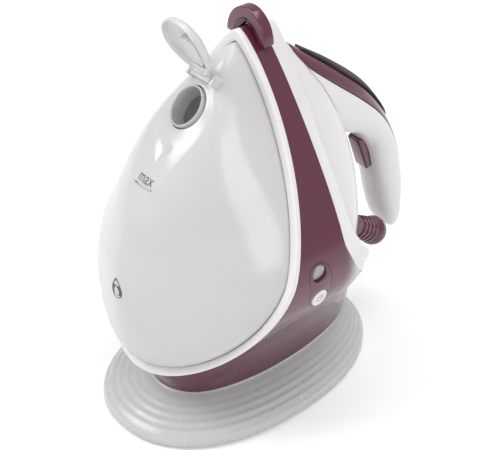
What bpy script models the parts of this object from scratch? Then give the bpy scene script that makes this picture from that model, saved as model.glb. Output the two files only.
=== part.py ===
"""Upright steam ironing station with its iron docked on the back.

Frame: origin at the middle of the foot on the floor, +Z up. The water tank faces -Y, the iron
stands nose up on the +Y side, and the object is symmetric about X = 0 except for its controls.
All sizes below are in millimetres and are turned into metres as each mesh is made.
"""

import functools
import math

import bmesh
import bpy
from mathutils import Matrix, Vector
from mathutils.geometry import interpolate_bezier

MM = 0.001
GAP = 0.3

# Foot
FOOT_HALF_X = 76.0
FOOT_HALF_Y = 111.5
FOOT_EDGE = 9.0
FOOT_TOP = 24.0
FOOT_LIFT = 2.5

# Egg outline of the station, seen along Y
EGG_BOTTOM = 53.0
EGG_TOP = 288.5
EGG_WIDEST = 138.5
EGG_HALF_WIDTH = 93.5
EGG_SIDE = 26
WALL = 2.5

# Front rim and dock edge, seen along X
RIM_FOOT_Y = -96.9
RIM_TOP_Y = 0.5
RIM_HOLLOW = 28.8
RIM_WIDTH = 6.3
RIM_DEPTH = 4.8
DOCK_Y = 20.0
FLARE_FROM = 155.0
FLARE_END = 84.0
LEDGE_THICK = 3.0
HEEL_EDGE = 44.0
IRON_WAY = 51.4
TUCK_ROWS = ((84.0, 0.86), (100.0, 0.875), (120.0, 0.93), (138.0, 0.98), (155.0, 1.0))
PANEL_Y = 16.5
FRAME_ROWS = ((84.0, 2.0), (88.0, 4.0), (93.0, 13.0), (99.0, 18.0), (117.0, 21.0), (140.0, 19.0),
              (165.0, 16.5), (290.0, 15.5))

# Water tank
TANK_WALL = 2.2
DOME_ROWS = (
    # height, y of the middle, roundness across
    (59.0, -90.5, 1.7),
    (66.0, -99.5, 1.65),
    (78.0, -104.5, 1.6),
    (98.0, -107.5, 1.55),
    (125.0, -108.5, 1.5),
    (152.0, -106.0, 1.5),
    (178.0, -97.5, 1.55),
    (204.0, -80.5, 1.9),
    (220.0, -66.5, 2.3),
    (236.0, -51.5, 2.8),
    (250.0, -38.5, 3.1),
    (262.0, -26.5, 3.3),
    (272.0, -14.5, 3.4),
    (281.0, -0.5, 3.5),
)
TANK_SLOPE = math.radians(45)
TANK_MIDDLE = 150.0
FILLER_Z = 247.0
FILLER_HALF_X = 10.5
FILLER_HALF_V = 13.5
FLAP_LENGTH = 49.0
FLAP_HALF_X = 21.0
FLAP_OPEN = math.radians(112)
HINGE_Z = 263.0

# Iron
HEEL_Z = 88.0
NOSE_Z = 275.5
SOLE_Y = 26.0
SOLE_THICK = 4.0
SHIELD_THICK = 4.4
DIAL_RADIUS = 19.0
DIAL_Z = 118.0

# Middle of the whole object along Y, moved onto the origin
CENTRE_Y = 28.6

AXES = {"X": (1, 0, 0), "Y": (0, 1, 0), "Z": (0, 0, 1)}
PARTS = None
CUTTERS = None


# ---------------------------------------------------------------- outlines


@functools.lru_cache(maxsize=None)
def egg_side(amount=0.0):
    """Right half of the egg, moved inwards by amount, as (x, z) from the bottom up to the top."""
    wide = EGG_HALF_WIDTH - amount
    bottom, top = EGG_BOTTOM + amount, EGG_TOP - 1.4 * amount
    low = interpolate_bezier((0, bottom), (41 - 0.3 * amount, bottom), (wide, 94 + 0.3 * amount),
                             (wide, EGG_WIDEST), EGG_SIDE // 2)
    high = interpolate_bezier((wide, EGG_WIDEST), (wide, 168), (14 - 0.6 * amount, top), (0, top),
                              EGG_SIDE // 2 + 2)
    return tuple((p[0], p[1]) for p in low + high[1:])


def egg(amount=0.0):
    """The whole egg outline, whose first and middle points lie on X = 0."""
    side = list(egg_side(amount))
    return side + [(-x, z) for x, z in side[-2:0:-1]]


def inset(outline, amount):
    """The outline moved inwards by amount along its normals."""
    count = len(outline)
    moved = []
    for i, (x, z) in enumerate(outline):
        ax, az = outline[i - 1]
        bx, bz = outline[(i + 1) % count]
        length = math.hypot(bx - ax, bz - az)
        moved.append((x - amount * (bz - az) / length, z + amount * (bx - ax) / length))
    return moved


def egg_half_width(z, amount=0.0):
    """Half width of the egg at a height."""
    side = egg_side(amount)
    for (xa, za), (xb, zb) in zip(side, side[1:]):
        if za <= z <= zb and zb > za:
            return xa + (xb - xa) * (z - za) / (zb - za)
    return 0.0


def front_y(z):
    """The rim leans back and is hollow, seen from the side."""
    s = (z - EGG_BOTTOM) / (EGG_TOP - EGG_BOTTOM)
    return RIM_FOOT_Y + s * (RIM_TOP_Y - RIM_FOOT_Y) + RIM_HOLLOW * 4 * s * (1 - s)


def back_y(z):
    """The dock edge is upright and flares backwards towards the shelf."""
    below = max(0.0, FLARE_FROM - max(z, FLARE_END))
    return DOCK_Y + 0.1128 * below**1.45


def bulge(x, z, wall=0.0):
    """How far the tank stands in front of the rim, outside or a wall's thickness inside."""
    middle, roundness = station(DOME_ROWS, z)
    height = max(0.0, front_y(z) + 1.5 - middle - wall)
    width = max(egg_half_width(z, RIM_WIDTH + wall), 0.01)
    across = max(0.0, 1 - min(abs(x) / width, 1.0)**roundness)
    return height * across**(1 / roundness)


def tank_y(x, z, wall=0.0):
    return front_y(z) + 1.5 - bulge(x, z, wall)


def oval(half_x, half_y, power=2.0, count=48, centre_y=0.0):
    """Superellipse in plan as (x, y)."""
    points = []
    for i in range(count):
        a = 2 * math.pi * i / count
        c, s = math.cos(a), math.sin(a)
        points.append((half_x * math.copysign(abs(c)**(2 / power), c),
                       centre_y + half_y * math.copysign(abs(s)**(2 / power), s)))
    return points


def mix(a, b, t):
    return a + (b - a) * t


def station(table, at):
    """Smooth value between rows of (position, value, value...)."""
    rows = sorted(table)
    at = min(max(at, rows[0][0]), rows[-1][0])
    k = max(i for i, row in enumerate(rows[:-1]) if row[0] <= at)
    t = (at - rows[k][0]) / (rows[k + 1][0] - rows[k][0])
    before, after = rows[max(k - 1, 0)], rows[min(k + 2, len(rows) - 1)]
    values = []
    for p0, p1, p2, p3 in zip(before[1:], rows[k][1:], rows[k + 1][1:], after[1:]):
        m1, m2 = (p2 - p0) / 2, (p3 - p1) / 2
        values.append((2 * t**3 - 3 * t**2 + 1) * p1 + (t**3 - 2 * t**2 + t) * m1
                      + (3 * t**2 - 2 * t**3) * p2 + (t**3 - t**2) * m2)
    return values


# ---------------------------------------------------------------- mesh helpers


def material(name, colour, roughness=0.4, metallic=0.0, alpha=1.0):
    found = bpy.data.materials.get(name)
    if found:
        return found
    made = bpy.data.materials.new(name)
    made.use_nodes = True
    shader = made.node_tree.nodes["Principled BSDF"]
    shader.inputs["Base Color"].default_value = (*colour, 1.0)
    shader.inputs["Roughness"].default_value = roughness
    shader.inputs["Metallic"].default_value = metallic
    shader.inputs["Alpha"].default_value = alpha
    return made


def white_plastic():
    return material("white_plastic", (0.80, 0.79, 0.79), 0.3)


def burgundy_plastic():
    return material("burgundy_plastic", (0.16, 0.045, 0.08), 0.35)


def clear_plastic():
    return material("milky_plastic", (0.75, 0.75, 0.76), 0.2, alpha=0.7)


def dark_plastic():
    return material("dark_plastic", (0.05, 0.055, 0.055), 0.5)


def grey_plastic():
    return material("grey_plastic", (0.35, 0.36, 0.38), 0.45)


def rubber():
    return material("rubber", (0.03, 0.03, 0.03), 0.8)


def silicone():
    return material("silicone", (0.45, 0.45, 0.45), 0.7)


def steel():
    return material("steel", (0.62, 0.62, 0.60), 0.3, 1.0)


def brass():
    return material("brass", (0.70, 0.52, 0.22), 0.35, 1.0)


def board_green():
    return material("board_green", (0.04, 0.18, 0.08), 0.5)


def add_object(name, mesh, skin, collection=None):
    made = bpy.data.objects.new(name, mesh)
    (collection or PARTS).objects.link(made)
    mesh.materials.append(skin)
    mesh.shade_smooth()
    mesh.set_sharp_from_angle(angle=math.radians(35))
    return made


def finish_mesh(name, bm):
    bmesh.ops.remove_doubles(bm, verts=bm.verts, dist=1e-6)
    bmesh.ops.recalc_face_normals(bm, faces=bm.faces)
    mesh = bpy.data.meshes.new(name)
    bm.to_mesh(mesh)
    bm.free()
    return mesh


def strip_cap(bm, ring):
    """Closes a ring that is symmetric about X = 0 with level strips."""
    count = len(ring)
    for i in range(count // 2):
        corners = [ring[i], ring[i + 1], ring[-i - 1], ring[-i if i else 0]]
        unique = list(dict.fromkeys(corners))
        bm.faces.new(unique)


def loft(name, rings, skin, closed=False, collection=None, strips=False):
    """Skins rings of (x, y, z) in millimetres. closed joins the last ring to the first."""
    bm = bmesh.new()
    rows = [[bm.verts.new(Vector(p) * MM) for p in ring] for ring in rings]
    count = len(rows[0])
    pairs = list(zip(rows, rows[1:])) + ([(rows[-1], rows[0])] if closed else [])
    for lower, upper in pairs:
        for i in range(count):
            j = (i + 1) % count
            bm.faces.new((lower[i], lower[j], upper[j], upper[i]))
    if not closed:
        for ring in (rows[0], rows[-1]):
            if strips:
                strip_cap(bm, ring)
            else:
                bm.faces.new(ring)
    return add_object(name, finish_mesh(name, bm), skin, collection)


def turned(name, profile, place, skin, axis="Z", steps=28):
    """Turns (radius, height) pairs, listed down the outer side, round an axis through place."""
    mesh = bpy.data.meshes.new(name)
    points = [(r * MM, 0, h * MM) for r, h in profile]
    mesh.from_pydata(points, [(i, i + 1) for i in range(len(points) - 1)], [])
    made = bpy.data.objects.new(name, mesh)
    PARTS.objects.link(made)
    mesh.materials.append(skin)
    spin = made.modifiers.new("turn", "SCREW")
    spin.steps = steps
    spin.render_steps = steps
    spin.use_merge_vertices = True
    spin.merge_threshold = 1e-5
    spin.use_smooth_shade = True
    place_along(made, place, axis)
    return made


def place_along(made, place, axis):
    """Puts an object at place in millimetres with its local Z along axis."""
    direction = Vector(AXES[axis] if isinstance(axis, str) else axis)
    made.rotation_mode = "QUATERNION"
    made.rotation_quaternion = direction.to_track_quat("Z", "X")
    made.location = Vector(place) * MM


def box(name, size, place, skin, bevel=0.0, collection=None):
    bm = bmesh.new()
    bmesh.ops.create_cube(bm, size=1.0, matrix=Matrix.Diagonal((*(Vector(size) * MM), 1)))
    made = add_object(name, finish_mesh(name, bm), skin, collection)
    made.location = Vector(place) * MM
    if bevel:
        edge = made.modifiers.new("edge", "BEVEL")
        edge.width = bevel * MM
        edge.segments = 2
    return made


def rod(name, radius, length, place, skin, axis="Z", sides=20, collection=None, scale_x=1.0):
    """A cylinder centred on place, its local Z along axis and its X radius scaled."""
    bm = bmesh.new()
    bmesh.ops.create_cone(bm, cap_ends=True, segments=sides, radius1=radius * MM,
                          radius2=radius * MM, depth=length * MM,
                          matrix=Matrix.Diagonal((scale_x, 1, 1, 1)))
    made = add_object(name, finish_mesh(name, bm), skin, collection)
    place_along(made, place, axis)
    return made


def tube(name, points, radius, skin, resolution=2):
    """A smooth round tube through points in millimetres."""
    curve = bpy.data.curves.new(name, "CURVE")
    curve.dimensions = "3D"
    curve.bevel_depth = radius * MM
    curve.bevel_resolution = resolution
    curve.use_fill_caps = True
    spline = curve.splines.new("POLY")
    spline.points.add(len(points) - 1)
    for target, point in zip(spline.points, points):
        target.co = (*(Vector(point) * MM), 1)
    curve.materials.append(skin)
    made = bpy.data.objects.new(name, curve)
    PARTS.objects.link(made)
    return made


def smooth_path(points, steps=5):
    """Points along a smooth curve through the given ones."""
    table = [(i, *p) for i, p in enumerate(points)]
    count = (len(points) - 1) * steps
    return [station(table, i / steps) for i in range(count + 1)]


def boolean(target, other, operation="DIFFERENCE"):
    step = target.modifiers.new(operation.lower(), "BOOLEAN")
    step.operation = operation
    step.object = other
    step.solver = "EXACT"
    other.hide_render = True
    other.display_type = "WIRE"


def cutter_skin():
    return material("cutter", (1, 0, 0))


def joined(target, other):
    """Unions another shape into the target."""
    boolean(target, other, "UNION")


def egg_solid(name, amount, front, back):
    """The egg swept along Y between two depth functions of height."""
    outline = egg(amount)
    rings = [[(x, edge(z), z) for x, z in outline] for edge in (front, back)]
    return loft(name, rings, cutter_skin(), collection=CUTTERS, strips=True)


# ---------------------------------------------------------------- foot


def foot_ring(t, z, grow=0.0):
    """Plan ring of the foot, from its outer edge (t = 0) to the body's footprint (t = 1)."""
    outer = oval(FOOT_HALF_X + grow, FOOT_HALF_Y + grow, 2.2)
    inner = oval(BASE_ROWS[0][1], BASE_ROWS[0][2], 2.3, centre_y=BASE_ROWS[0][3])
    return [(mix(ox, ix, t), mix(oy, iy, t), z) for (ox, oy), (ix, iy) in zip(outer, inner)]


def make_foot():
    rings = [foot_ring(0, FOOT_LIFT, -1), foot_ring(0, FOOT_LIFT + 1), foot_ring(0, FOOT_EDGE - 2),
             foot_ring(0.02, FOOT_EDGE)]
    rings += [foot_ring(t, mix(FOOT_EDGE, FOOT_TOP - 1, t**0.75)) for t in (0.15, 0.35, 0.6, 0.85)]
    rings += [foot_ring(1.0, FOOT_TOP)]
    foot = loft("foot_base", rings, clear_plastic())
    hollow = [foot_ring(0.04, -1), foot_ring(0.04, FOOT_EDGE - 3), foot_ring(0.35, FOOT_EDGE + 3),
              foot_ring(0.9, FOOT_TOP - 4)]
    boolean(foot, loft("foot_hollow", hollow, cutter_skin(), collection=CUTTERS))
    plate = [foot_ring(0.08, FOOT_LIFT), foot_ring(0.08, FOOT_LIFT + 2.2)]
    loft("foot_plate", plate, white_plastic())
    for number, (sx, sy) in enumerate(((-1, -1), (1, -1), (1, 1), (-1, 1)), 1):
        turned(f"rubber_foot_{number}", ((0, 2.2), (8, 2.2), (8, 0.5), (7, 0), (0, 0)),
               (sx * 42, sy * 76, 0), rubber(), steps=20)


# ---------------------------------------------------------------- body


BASE_ROWS = (
    # height, half width, half length, middle in y
    (24.0, 43.0, 87.0, 12.5),
    (38.0, 46.5, 90.5, 11.5),
    (54.0, 52.5, 91.0, 8.5),
    (70.0, 60.0, 86.5, 3.0),
    (84.0, 66.0, 75.0, -2.0),
)


def base_ring(z, amount=0.0):
    half_x, half_y, middle = station(BASE_ROWS, z)
    return [(x, y, z) for x, y in oval(half_x - amount, half_y - amount, 2.5, centre_y=middle)]


def tuck(z):
    """Share of its width that the flared edge keeps at a height."""
    return station(TUCK_ROWS, min(max(z, 84.0), 155.0))[0]


def flared(amount, depth=0.0):
    """Ring of the flared dock edge, tucked in towards its foot."""
    return [(x * tuck(z), back_y(z) + depth, z) for x, z in egg(amount)]


def flat(amount, y):
    return [(x, y, z) for x, z in egg(amount)]


def make_body():
    front = [(x, front_y(z) + RIM_DEPTH, z) for x, z in egg()]
    shell = loft("body_shell", [front, flat(0, DOCK_Y - 1), flared(0)], burgundy_plastic(),
                 strips=True)
    top = FLARE_END - GAP
    heights = [FOOT_TOP + GAP, 34, 45, 56, 66, 75, top]
    joined(shell, loft("base_form", [base_ring(z) for z in heights], cutter_skin(),
                       collection=CUTTERS))
    bore = [[(x, front_y(z) - 30, z) for x, z in egg(WALL)], flat(WALL, DOCK_Y - 1),
            flared(WALL, 1.0), flared(WALL, 12.0)]
    boolean(shell, loft("body_bore", bore, cutter_skin(), collection=CUTTERS, strips=True))
    inner = [mix(FOOT_TOP + WALL, FLARE_END + 6, i / 5) for i in range(6)]
    boolean(shell, loft("base_bore", [base_ring(z, WALL) for z in inner], cutter_skin(),
                        collection=CUTTERS))
    ledge = [[(x, max(y, -58.0), z) for x, y, z in base_ring(z, 0.5)]
             for z in (top - LEDGE_THICK, top - 0.3)]
    joined(shell, loft("ledge", ledge, cutter_skin(), collection=CUTTERS))
    boolean(shell, rod("feed_hole", 4.0, 20, (*FEED_PLACE, 82), cutter_skin(), "Z", 16, CUTTERS))
    boolean(shell, panel_prism("panel_hole", 0.0))
    return shell


def make_rim():
    """White ring round the tank, with a rounded front edge."""
    def ring(amount, depth):
        return [(x, front_y(z) + depth, z) for x, z in egg(amount)]
    rings = [ring(0, RIM_DEPTH - GAP), ring(0, 1.4), ring(1.2, 0), ring(RIM_WIDTH - 1.2, 0),
             ring(RIM_WIDTH, 1.2), ring(RIM_WIDTH, RIM_DEPTH - GAP)]
    loft("front_rim", rings, white_plastic(), closed=True)


# ---------------------------------------------------------------- control panel


PANEL_Y_MID = -5.0
PANEL_Z_MID = 131.5
PANEL_HALF_Y = 10.0
PANEL_HALF_Z = 20.0
LENS_Z = 143.0
BUTTON_Z = 120.0
PRESS_AXIS = Vector((-0.985, 0, 0.174))


def panel_outline(amount):
    """Obround in (y, z), leaning with the rim."""
    points = []
    for end, start in ((1, 0.0), (-1, math.pi)):
        for i in range(9):
            a = start + math.pi * i / 8
            y = (PANEL_HALF_Y - amount) * math.cos(a)
            z = end * (PANEL_HALF_Z - PANEL_HALF_Y) + (PANEL_HALF_Y - amount) * math.sin(a)
            points.append((PANEL_Y_MID + y - 0.12 * z, PANEL_Z_MID + z))
    return points


def panel_prism(name, amount, near=80.0, far=110.0):
    rings = [[(x, y, z) for y, z in panel_outline(amount)] for x in (near, far)]
    return loft(name, rings, cutter_skin(), collection=CUTTERS)


def control_place(z, depth):
    """A point on the band at a height, depth below its surface along the press axis."""
    surface = Vector((egg_half_width(z), PANEL_Y_MID - 0.12 * (z - PANEL_Z_MID), z))
    return surface + PRESS_AXIS * depth


def make_controls():
    near = 78.0
    rings = [[(x, y, z) for y, z in panel_outline(GAP)] for x in (near, 112.0)]
    panel = loft("control_panel", rings, burgundy_plastic())
    boolean(panel, egg_solid("panel_skin", 0, lambda z: -120, lambda z: 120), "INTERSECT")
    boolean(panel, egg_solid("panel_back", WALL + 1.5, lambda z: -130, lambda z: 130))
    for name, z, radius in (("lens_hole", LENS_Z, 6.2), ("button_hole", BUTTON_Z, 7.2)):
        boolean(panel, rod(name, radius, 20, control_place(z, 0), cutter_skin(), PRESS_AXIS,
                           24, CUTTERS))
    rod("indicator_lens", 5.9, 5.0, control_place(LENS_Z, 3.0), grey_plastic(), PRESS_AXIS, 24)
    rod("power_button", 6.9, 7.0, control_place(BUTTON_Z, 2.4), white_plastic(), PRESS_AXIS, 24)
    box("button_switch", (6, 8, 8), control_place(BUTTON_Z, 11.5), dark_plastic())
    box("panel_board", (1.6, 16, 40), (73, -3, 127), board_green())


# ---------------------------------------------------------------- water tank


def tank_rings(wall, steps):
    """Rings of the dome from near its peak out to its back edge."""
    outline = egg(RIM_WIDTH + GAP + wall)
    rings = []
    for i in range(1, steps + 1):
        rho = math.sin(math.pi / 2 * i / steps)
        ring = []
        for x, z in outline:
            px, pz = x * rho, TANK_MIDDLE + (z - TANK_MIDDLE) * rho
            ring.append((px, tank_y(px, pz, wall), pz))
        rings.append(ring)
    rings.append([(x, front_y(z) + RIM_DEPTH - 2 * GAP, z) for x, z in outline])
    return rings


def make_tank():
    rings = tank_rings(0.0, 9) + tank_rings(TANK_WALL, 7)[::-1]
    tank = loft("water_tank", rings, clear_plastic())
    hole = rod("filler_hole", FILLER_HALF_V + 2.6, 44, filler_place(-10), cutter_skin(), "Z", 28,
               CUTTERS, FILLER_SQUASH)
    hole.rotation_mode = "XYZ"
    hole.rotation_euler = (TANK_SLOPE, 0, 0)
    boolean(tank, hole)
    for side in (-1, 1):
        lug = box(f"hinge_lug_{side}", (2.4, 8, 24), lug_place(side * 11.5), cutter_skin(),
                  collection=CUTTERS)
        lug.rotation_euler = (TANK_SLOPE, 0, 0)
        joined(tank, lug)
    boolean(tank, rod("pin_hole", 1.5, 40, hinge_point(), cutter_skin(), "X", 12, CUTTERS))
    plate = [[(x, front_y(z) + depth, z) for x, z in egg(WALL + GAP)]
             for depth in (RIM_DEPTH, RIM_DEPTH + 2.0)]
    back = loft("tank_back", plate, white_plastic(), strips=True)
    boolean(back, rod("valve_hole", 5.6, 12, valve_place(), cutter_skin(), VALVE_AXIS, 16,
                      CUTTERS))


def valve_place():
    return Vector((0, front_y(VALVE_Z) + RIM_DEPTH + 1.6, VALVE_Z))


FILLER_SQUASH = (FILLER_HALF_X + 2.6) / (FILLER_HALF_V + 2.6)


def filler_axis():
    return Vector((0, -math.sin(TANK_SLOPE), math.cos(TANK_SLOPE)))


def down_slope():
    return Vector((0, -math.cos(TANK_SLOPE), -math.sin(TANK_SLOPE)))


def filler_place(out):
    """A point on the filler's axis, out from the tank's surface."""
    return Vector((0, tank_y(0, FILLER_Z), FILLER_Z)) + filler_axis() * out


def hinge_point():
    return Vector((0, tank_y(0, HINGE_Z), HINGE_Z)) + filler_axis() * 3.2


def lug_place(x):
    return hinge_point() + Vector((x, 0, 0)) - filler_axis() * 9.0


def make_filler_neck():
    """Oval funnel in the filler hole, open at both ends."""
    rings = []
    middle = (filler_place(0) - hinge_point()).dot(down_slope())
    for radius, out in ((1.7, 1.8), (1.7, -4.0), (0.2, -10.0), (-1.4, -10.0), (0.2, -4.0),
                        (0.2, 1.8)):
        rings.append([tuple(flap_point(x, v + middle, out)) for x, v in
                      oval(FILLER_HALF_X + radius, FILLER_HALF_V + radius, count=24)])
    loft("filler_neck", rings, clear_plastic(), closed=True)


def flap_point(x, v, out):
    """A point of the closed flap: v runs down the slope from the hinge, out above the tank."""
    base = hinge_point() + down_slope() * v
    z = base.z
    y = tank_y(x, z)
    for _ in range(12):
        error = (Vector((0, y, z)) - base).dot(down_slope())
        z += error * math.sin(TANK_SLOPE)
        y = tank_y(x, z)
    return Vector((x, y, z)) + filler_axis() * out


def flap_outline(scale):
    """Petal outline as (x, v): a round tip and a narrower root."""
    points = []
    for i in range(28):
        a = 2 * math.pi * i / 28
        v = FLAP_LENGTH / 2 * (1 - math.cos(a) * scale)
        wide = FLAP_HALF_X * (0.92 - 0.08 * math.cos(a))
        points.append((wide * math.sin(a) * scale, v + 3.5))
    return points


def make_flap():
    swing = Matrix.Rotation(-FLAP_OPEN, 4, "X")
    pivot = hinge_point()

    def opened(point):
        return tuple(pivot + swing @ (point - pivot))
    rings = []
    for scale, out in ((0.3, 7.2), (0.64, 6.8), (0.86, 5.4), (0.93, 1.4), (1.0, 1.4),
                       (0.98, 4.6), (0.88, 7.2), (0.62, 8.8), (0.3, 9.2)):
        rings.append([opened(flap_point(x, v, out)) for x, v in flap_outline(scale)])
    flap = loft("filler_flap", rings, clear_plastic())
    knuckle = rod("flap_knuckle", 3.0, 19.0, opened(pivot), cutter_skin(), "X", 16, CUTTERS)
    web = box("flap_web", (18.0, 10.0, 2.4), opened(pivot + down_slope() * 5 + filler_axis() * 0.6),
              cutter_skin(), collection=CUTTERS)
    web.rotation_euler = (TANK_SLOPE - FLAP_OPEN, 0, 0)
    joined(flap, web)
    joined(flap, knuckle)
    boolean(flap, rod("flap_bore", 1.5, 40, opened(pivot), cutter_skin(), "X", 12, CUTTERS))
    rod("flap_hinge_pin", 1.42, 26.0, pivot, steel(), "X", 12)


# ---------------------------------------------------------------- dock and clasp


def dock_outline(amount, lowest):
    return [(x, max(z, lowest)) for x, z in egg(amount)]


def taper(z):
    """The frame draws in towards the iron, less at its top."""
    return 3.0 + 7.0 * min(1.0, max(0.0, (EGG_TOP - z) / 70.0))


def make_dock():
    rings = []
    for amount, follow, depth, lowest in ((0.3, 1, GAP, 84.0), (0.6, 1, 2.0, 84.0),
                                          (None, 1, None, 84.0),
                                          (None, 1, None, HEEL_Z - 0.7),
                                          (None, 0, 19.0 + GAP, HEEL_Z - 0.7),
                                          (3.2, 0, 19.0 + GAP, 84.0),
                                          (3.2, 1, GAP, 84.0)):
        extra = 3.0 if lowest > 86 else 0.0
        plain = egg(0)
        moved = egg(amount if amount is not None else 0)
        ring = []
        for (x0, z0), (x1, z1) in zip(plain, moved):
            if amount is None:
                x1, z1 = shifted(x0, z0, taper(z0) + extra)
            y = depth
            if depth is None:
                y = back_y(z0) + station(FRAME_ROWS, max(z0, 84.0))[0]
            elif follow:
                y = back_y(z0) + depth
            x1 *= tuck(z0) if y > DOCK_Y else 1.0
            if extra and z0 < EGG_WIDEST and HEEL_EDGE < abs(x1) < IRON_WAY:
                x1 = math.copysign(IRON_WAY, x1)
                z1 = lowest
            ring.append((x1, y, max(z1, lowest)))
        rings.append(ring)
    loft("dock_frame", rings, white_plastic(), closed=True)
    panel = [[(x, y, z) for x, z in dock_outline(WALL + GAP, 84.0 + GAP)]
             for y in (PANEL_Y, 19.0)]
    loft("dock_panel", panel, white_plastic(), strips=True)
    for side, name in ((-1, "dock_pad_left"), (1, "dock_pad_right")):
        box(name, (12, 25.4 - 19.0 - 2 * GAP, 70), (side * 26, (25.4 + 19.0) / 2, 170), silicone(),
            1.0)


def shifted(x, z, amount):
    """An egg point moved inwards, found again in the inset outline."""
    plain, moved = egg(0), egg(amount)
    for (px, pz), place in zip(plain, moved):
        if abs(px - x) < 1e-6 and abs(pz - z) < 1e-6:
            return place
    return x, z


CLASP_FRONT = 10.0
CLASP_DEPTH = 8.5
CLASP_TRAVEL = 10.0
CLASP_LOW = 279.0


def clasp_arc(half_x, top, steps=14):
    points = []
    for i in range(steps + 1):
        a = math.pi * i / steps
        points.append((half_x * math.cos(a), CLASP_LOW + (top - CLASP_LOW) * math.sin(a)))
    return points


def make_clasp():
    outer = clasp_arc(19.0, 301.5)
    inner = clasp_arc(12.8, 295.0)
    outline = outer + inner[::-1]
    rings = []
    for y, shrink in ((0, 1.0), (1.0, 0), (CLASP_DEPTH - 1, 0), (CLASP_DEPTH, 1.0)):
        moved = inset(outline, shrink) if shrink else outline
        rings.append([(x, CLASP_FRONT + y, z) for x, z in moved])
    loft("lock_clasp", rings, burgundy_plastic())


# ---------------------------------------------------------------- inside the station


BOILER_RADIUS = 21.0
BOILER_Y = -7.0
BOILER_Z = 114.0
VALVE_Z = 74.0
VALVE_AXIS = (0, 0.74, -0.67)
FEED_PLACE = (-34, -7)


def make_works():
    domed = [(0, 44), (10, 43), (18, 39), (BOILER_RADIUS, 30)]
    domed += [(radius, -height) for radius, height in domed[::-1]]
    turned("boiler", domed, (0, BOILER_Y, BOILER_Z), steel(), "X", 20)
    turned("boiler_heater", ((0, 3), (13, 3), (13, 0), (0, 0)),
           (0, BOILER_Y, BOILER_Z - BOILER_RADIUS - 3.4), brass(), "Z", 16)
    turned("boiler_thermostat", ((0, 5), (8, 5), (8, 0), (0, 0)),
           (0, BOILER_Y, BOILER_Z + BOILER_RADIUS + 0.4), grey_plastic(), "Z", 16)
    box("pump", (34, 42, 24), (-8, 36, 46), dark_plastic(), 2)
    box("circuit_board", (44, 54, 1.6), (0, -22, 33), board_green())
    axis = Vector(VALVE_AXIS)
    valve = valve_place() + axis * 2.0
    turned("outlet_valve", ((0, 5), (8, 5), (8, 0), (5, 0), (5, -9), (0, -9)), valve,
           white_plastic(), axis, 16)
    start = valve + axis * (5.6 + GAP)
    tube("inlet_tube", smooth_path((start, start + axis * 6, (-4, -34, 54), (-10, -4, 50),
                                    (-10, 9, 48), (-10, 14.6, 48))), 2.6, silicone())
    x, y = FEED_PLACE
    tube("feed_tube", smooth_path(((-20, 34, 59.3), (-20, 34, 63), (-27, 16, 68), (x, y + 3, 73),
                                   (x, y, 80), (x, y, 89.4))), 2.6, silicone())


# ---------------------------------------------------------------- iron


IRON_ROWS = (
    # height, half width, top of the body in y
    (88.0, 49.0, 94.0),
    (94.0, 52.5, 99.0),
    (110.0, 55.0, 101.0),
    (130.0, 55.0, 100.0),
    (155.0, 52.5, 97.0),
    (180.0, 47.0, 92.0),
    (205.0, 39.0, 83.0),
    (228.0, 30.0, 71.0),
    (247.0, 20.0, 58.0),
    (262.0, 10.5, 47.0),
    (272.0, 4.2, 40.0),
    (NOSE_Z, 1.2, 37.5),
)
BODY_Y = SOLE_Y + SOLE_THICK + SHIELD_THICK + 2 * GAP
HEIGHTS = (88, 91, 96, 106, 118, 135, 155, 175, 195, 213, 229, 243, 255, 264, 271, NOSE_Z)


def body_section(z, grow=0.0, steps=14):
    half_x, top = station(IRON_ROWS, z)
    half_x += grow
    top += grow
    points = []
    for i in range(steps + 1):
        a = math.pi * i / steps
        c, s = math.cos(a), math.sin(a)
        points.append((half_x * math.copysign(abs(c)**(2 / 2.4), c),
                       BODY_Y - grow + (top - BODY_Y + grow) * s**(2 / 2.4), z))
    return points


def plan_ring(y, amount):
    """Outline of the sole in (x, z) at a depth y."""
    right = []
    for z in HEIGHTS:
        half_x = max(station(IRON_ROWS, z)[0] - amount, 0.6)
        right.append((half_x, min(max(z, HEEL_Z + amount), NOSE_Z - amount)))
    return [(x, y, z) for x, z in right] + [(-x, y, z) for x, z in right[::-1]]


HANDLE_ROWS = (
    # step, outer y, outer z, inner y, inner z, half width
    (0, 41.0, 268.0, 36.0, 260.0, 6.0),
    (1, 59.0, 254.0, 43.0, 236.0, 12.5),
    (2, 88.0, 233.0, 60.0, 205.0, 18.0),
    (3, 117.0, 208.0, 84.0, 179.0, 20.5),
    (4, 138.0, 180.0, 111.0, 165.0, 20.0),
    (5, 153.0, 153.5, 126.0, 149.0, 18.0),
    (6, 162.0, 130.0, 133.0, 129.0, 17.0),
    (7, 167.0, 108.0, 138.0, 108.0, 16.5),
    (8, 168.5, 88.0, 144.0, 86.5, 16.0),
    (9, 168.5, 71.0, 150.5, 68.5, 14.5),
    (10, 167.0, 60.0, 157.0, 58.5, 10.5),
    (10.6, 164.5, 56.5, 161.0, 56.0, 6.0),
)
COVER_THICK = 2.0
COVER_FIRST = 0.5
COVER_LAST = 9.5


def handle_frame(step):
    oy, oz, iy, iz, half_x = station(HANDLE_ROWS, step)
    middle = Vector((0, (oy + iy) / 2, (oz + iz) / 2))
    reach = Vector((0, (oy - iy) / 2, (oz - iz) / 2))
    return middle, reach, half_x


def cover_angle(step):
    """Half angle of the burgundy strip round the handle's back, narrowing to its end."""
    return math.radians(station(((0, 78.0), (3, 66.0), (5, 58.0), (7, 44.0), (9, 28.0),
                                 (10, 22.0)), step)[0])


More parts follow.
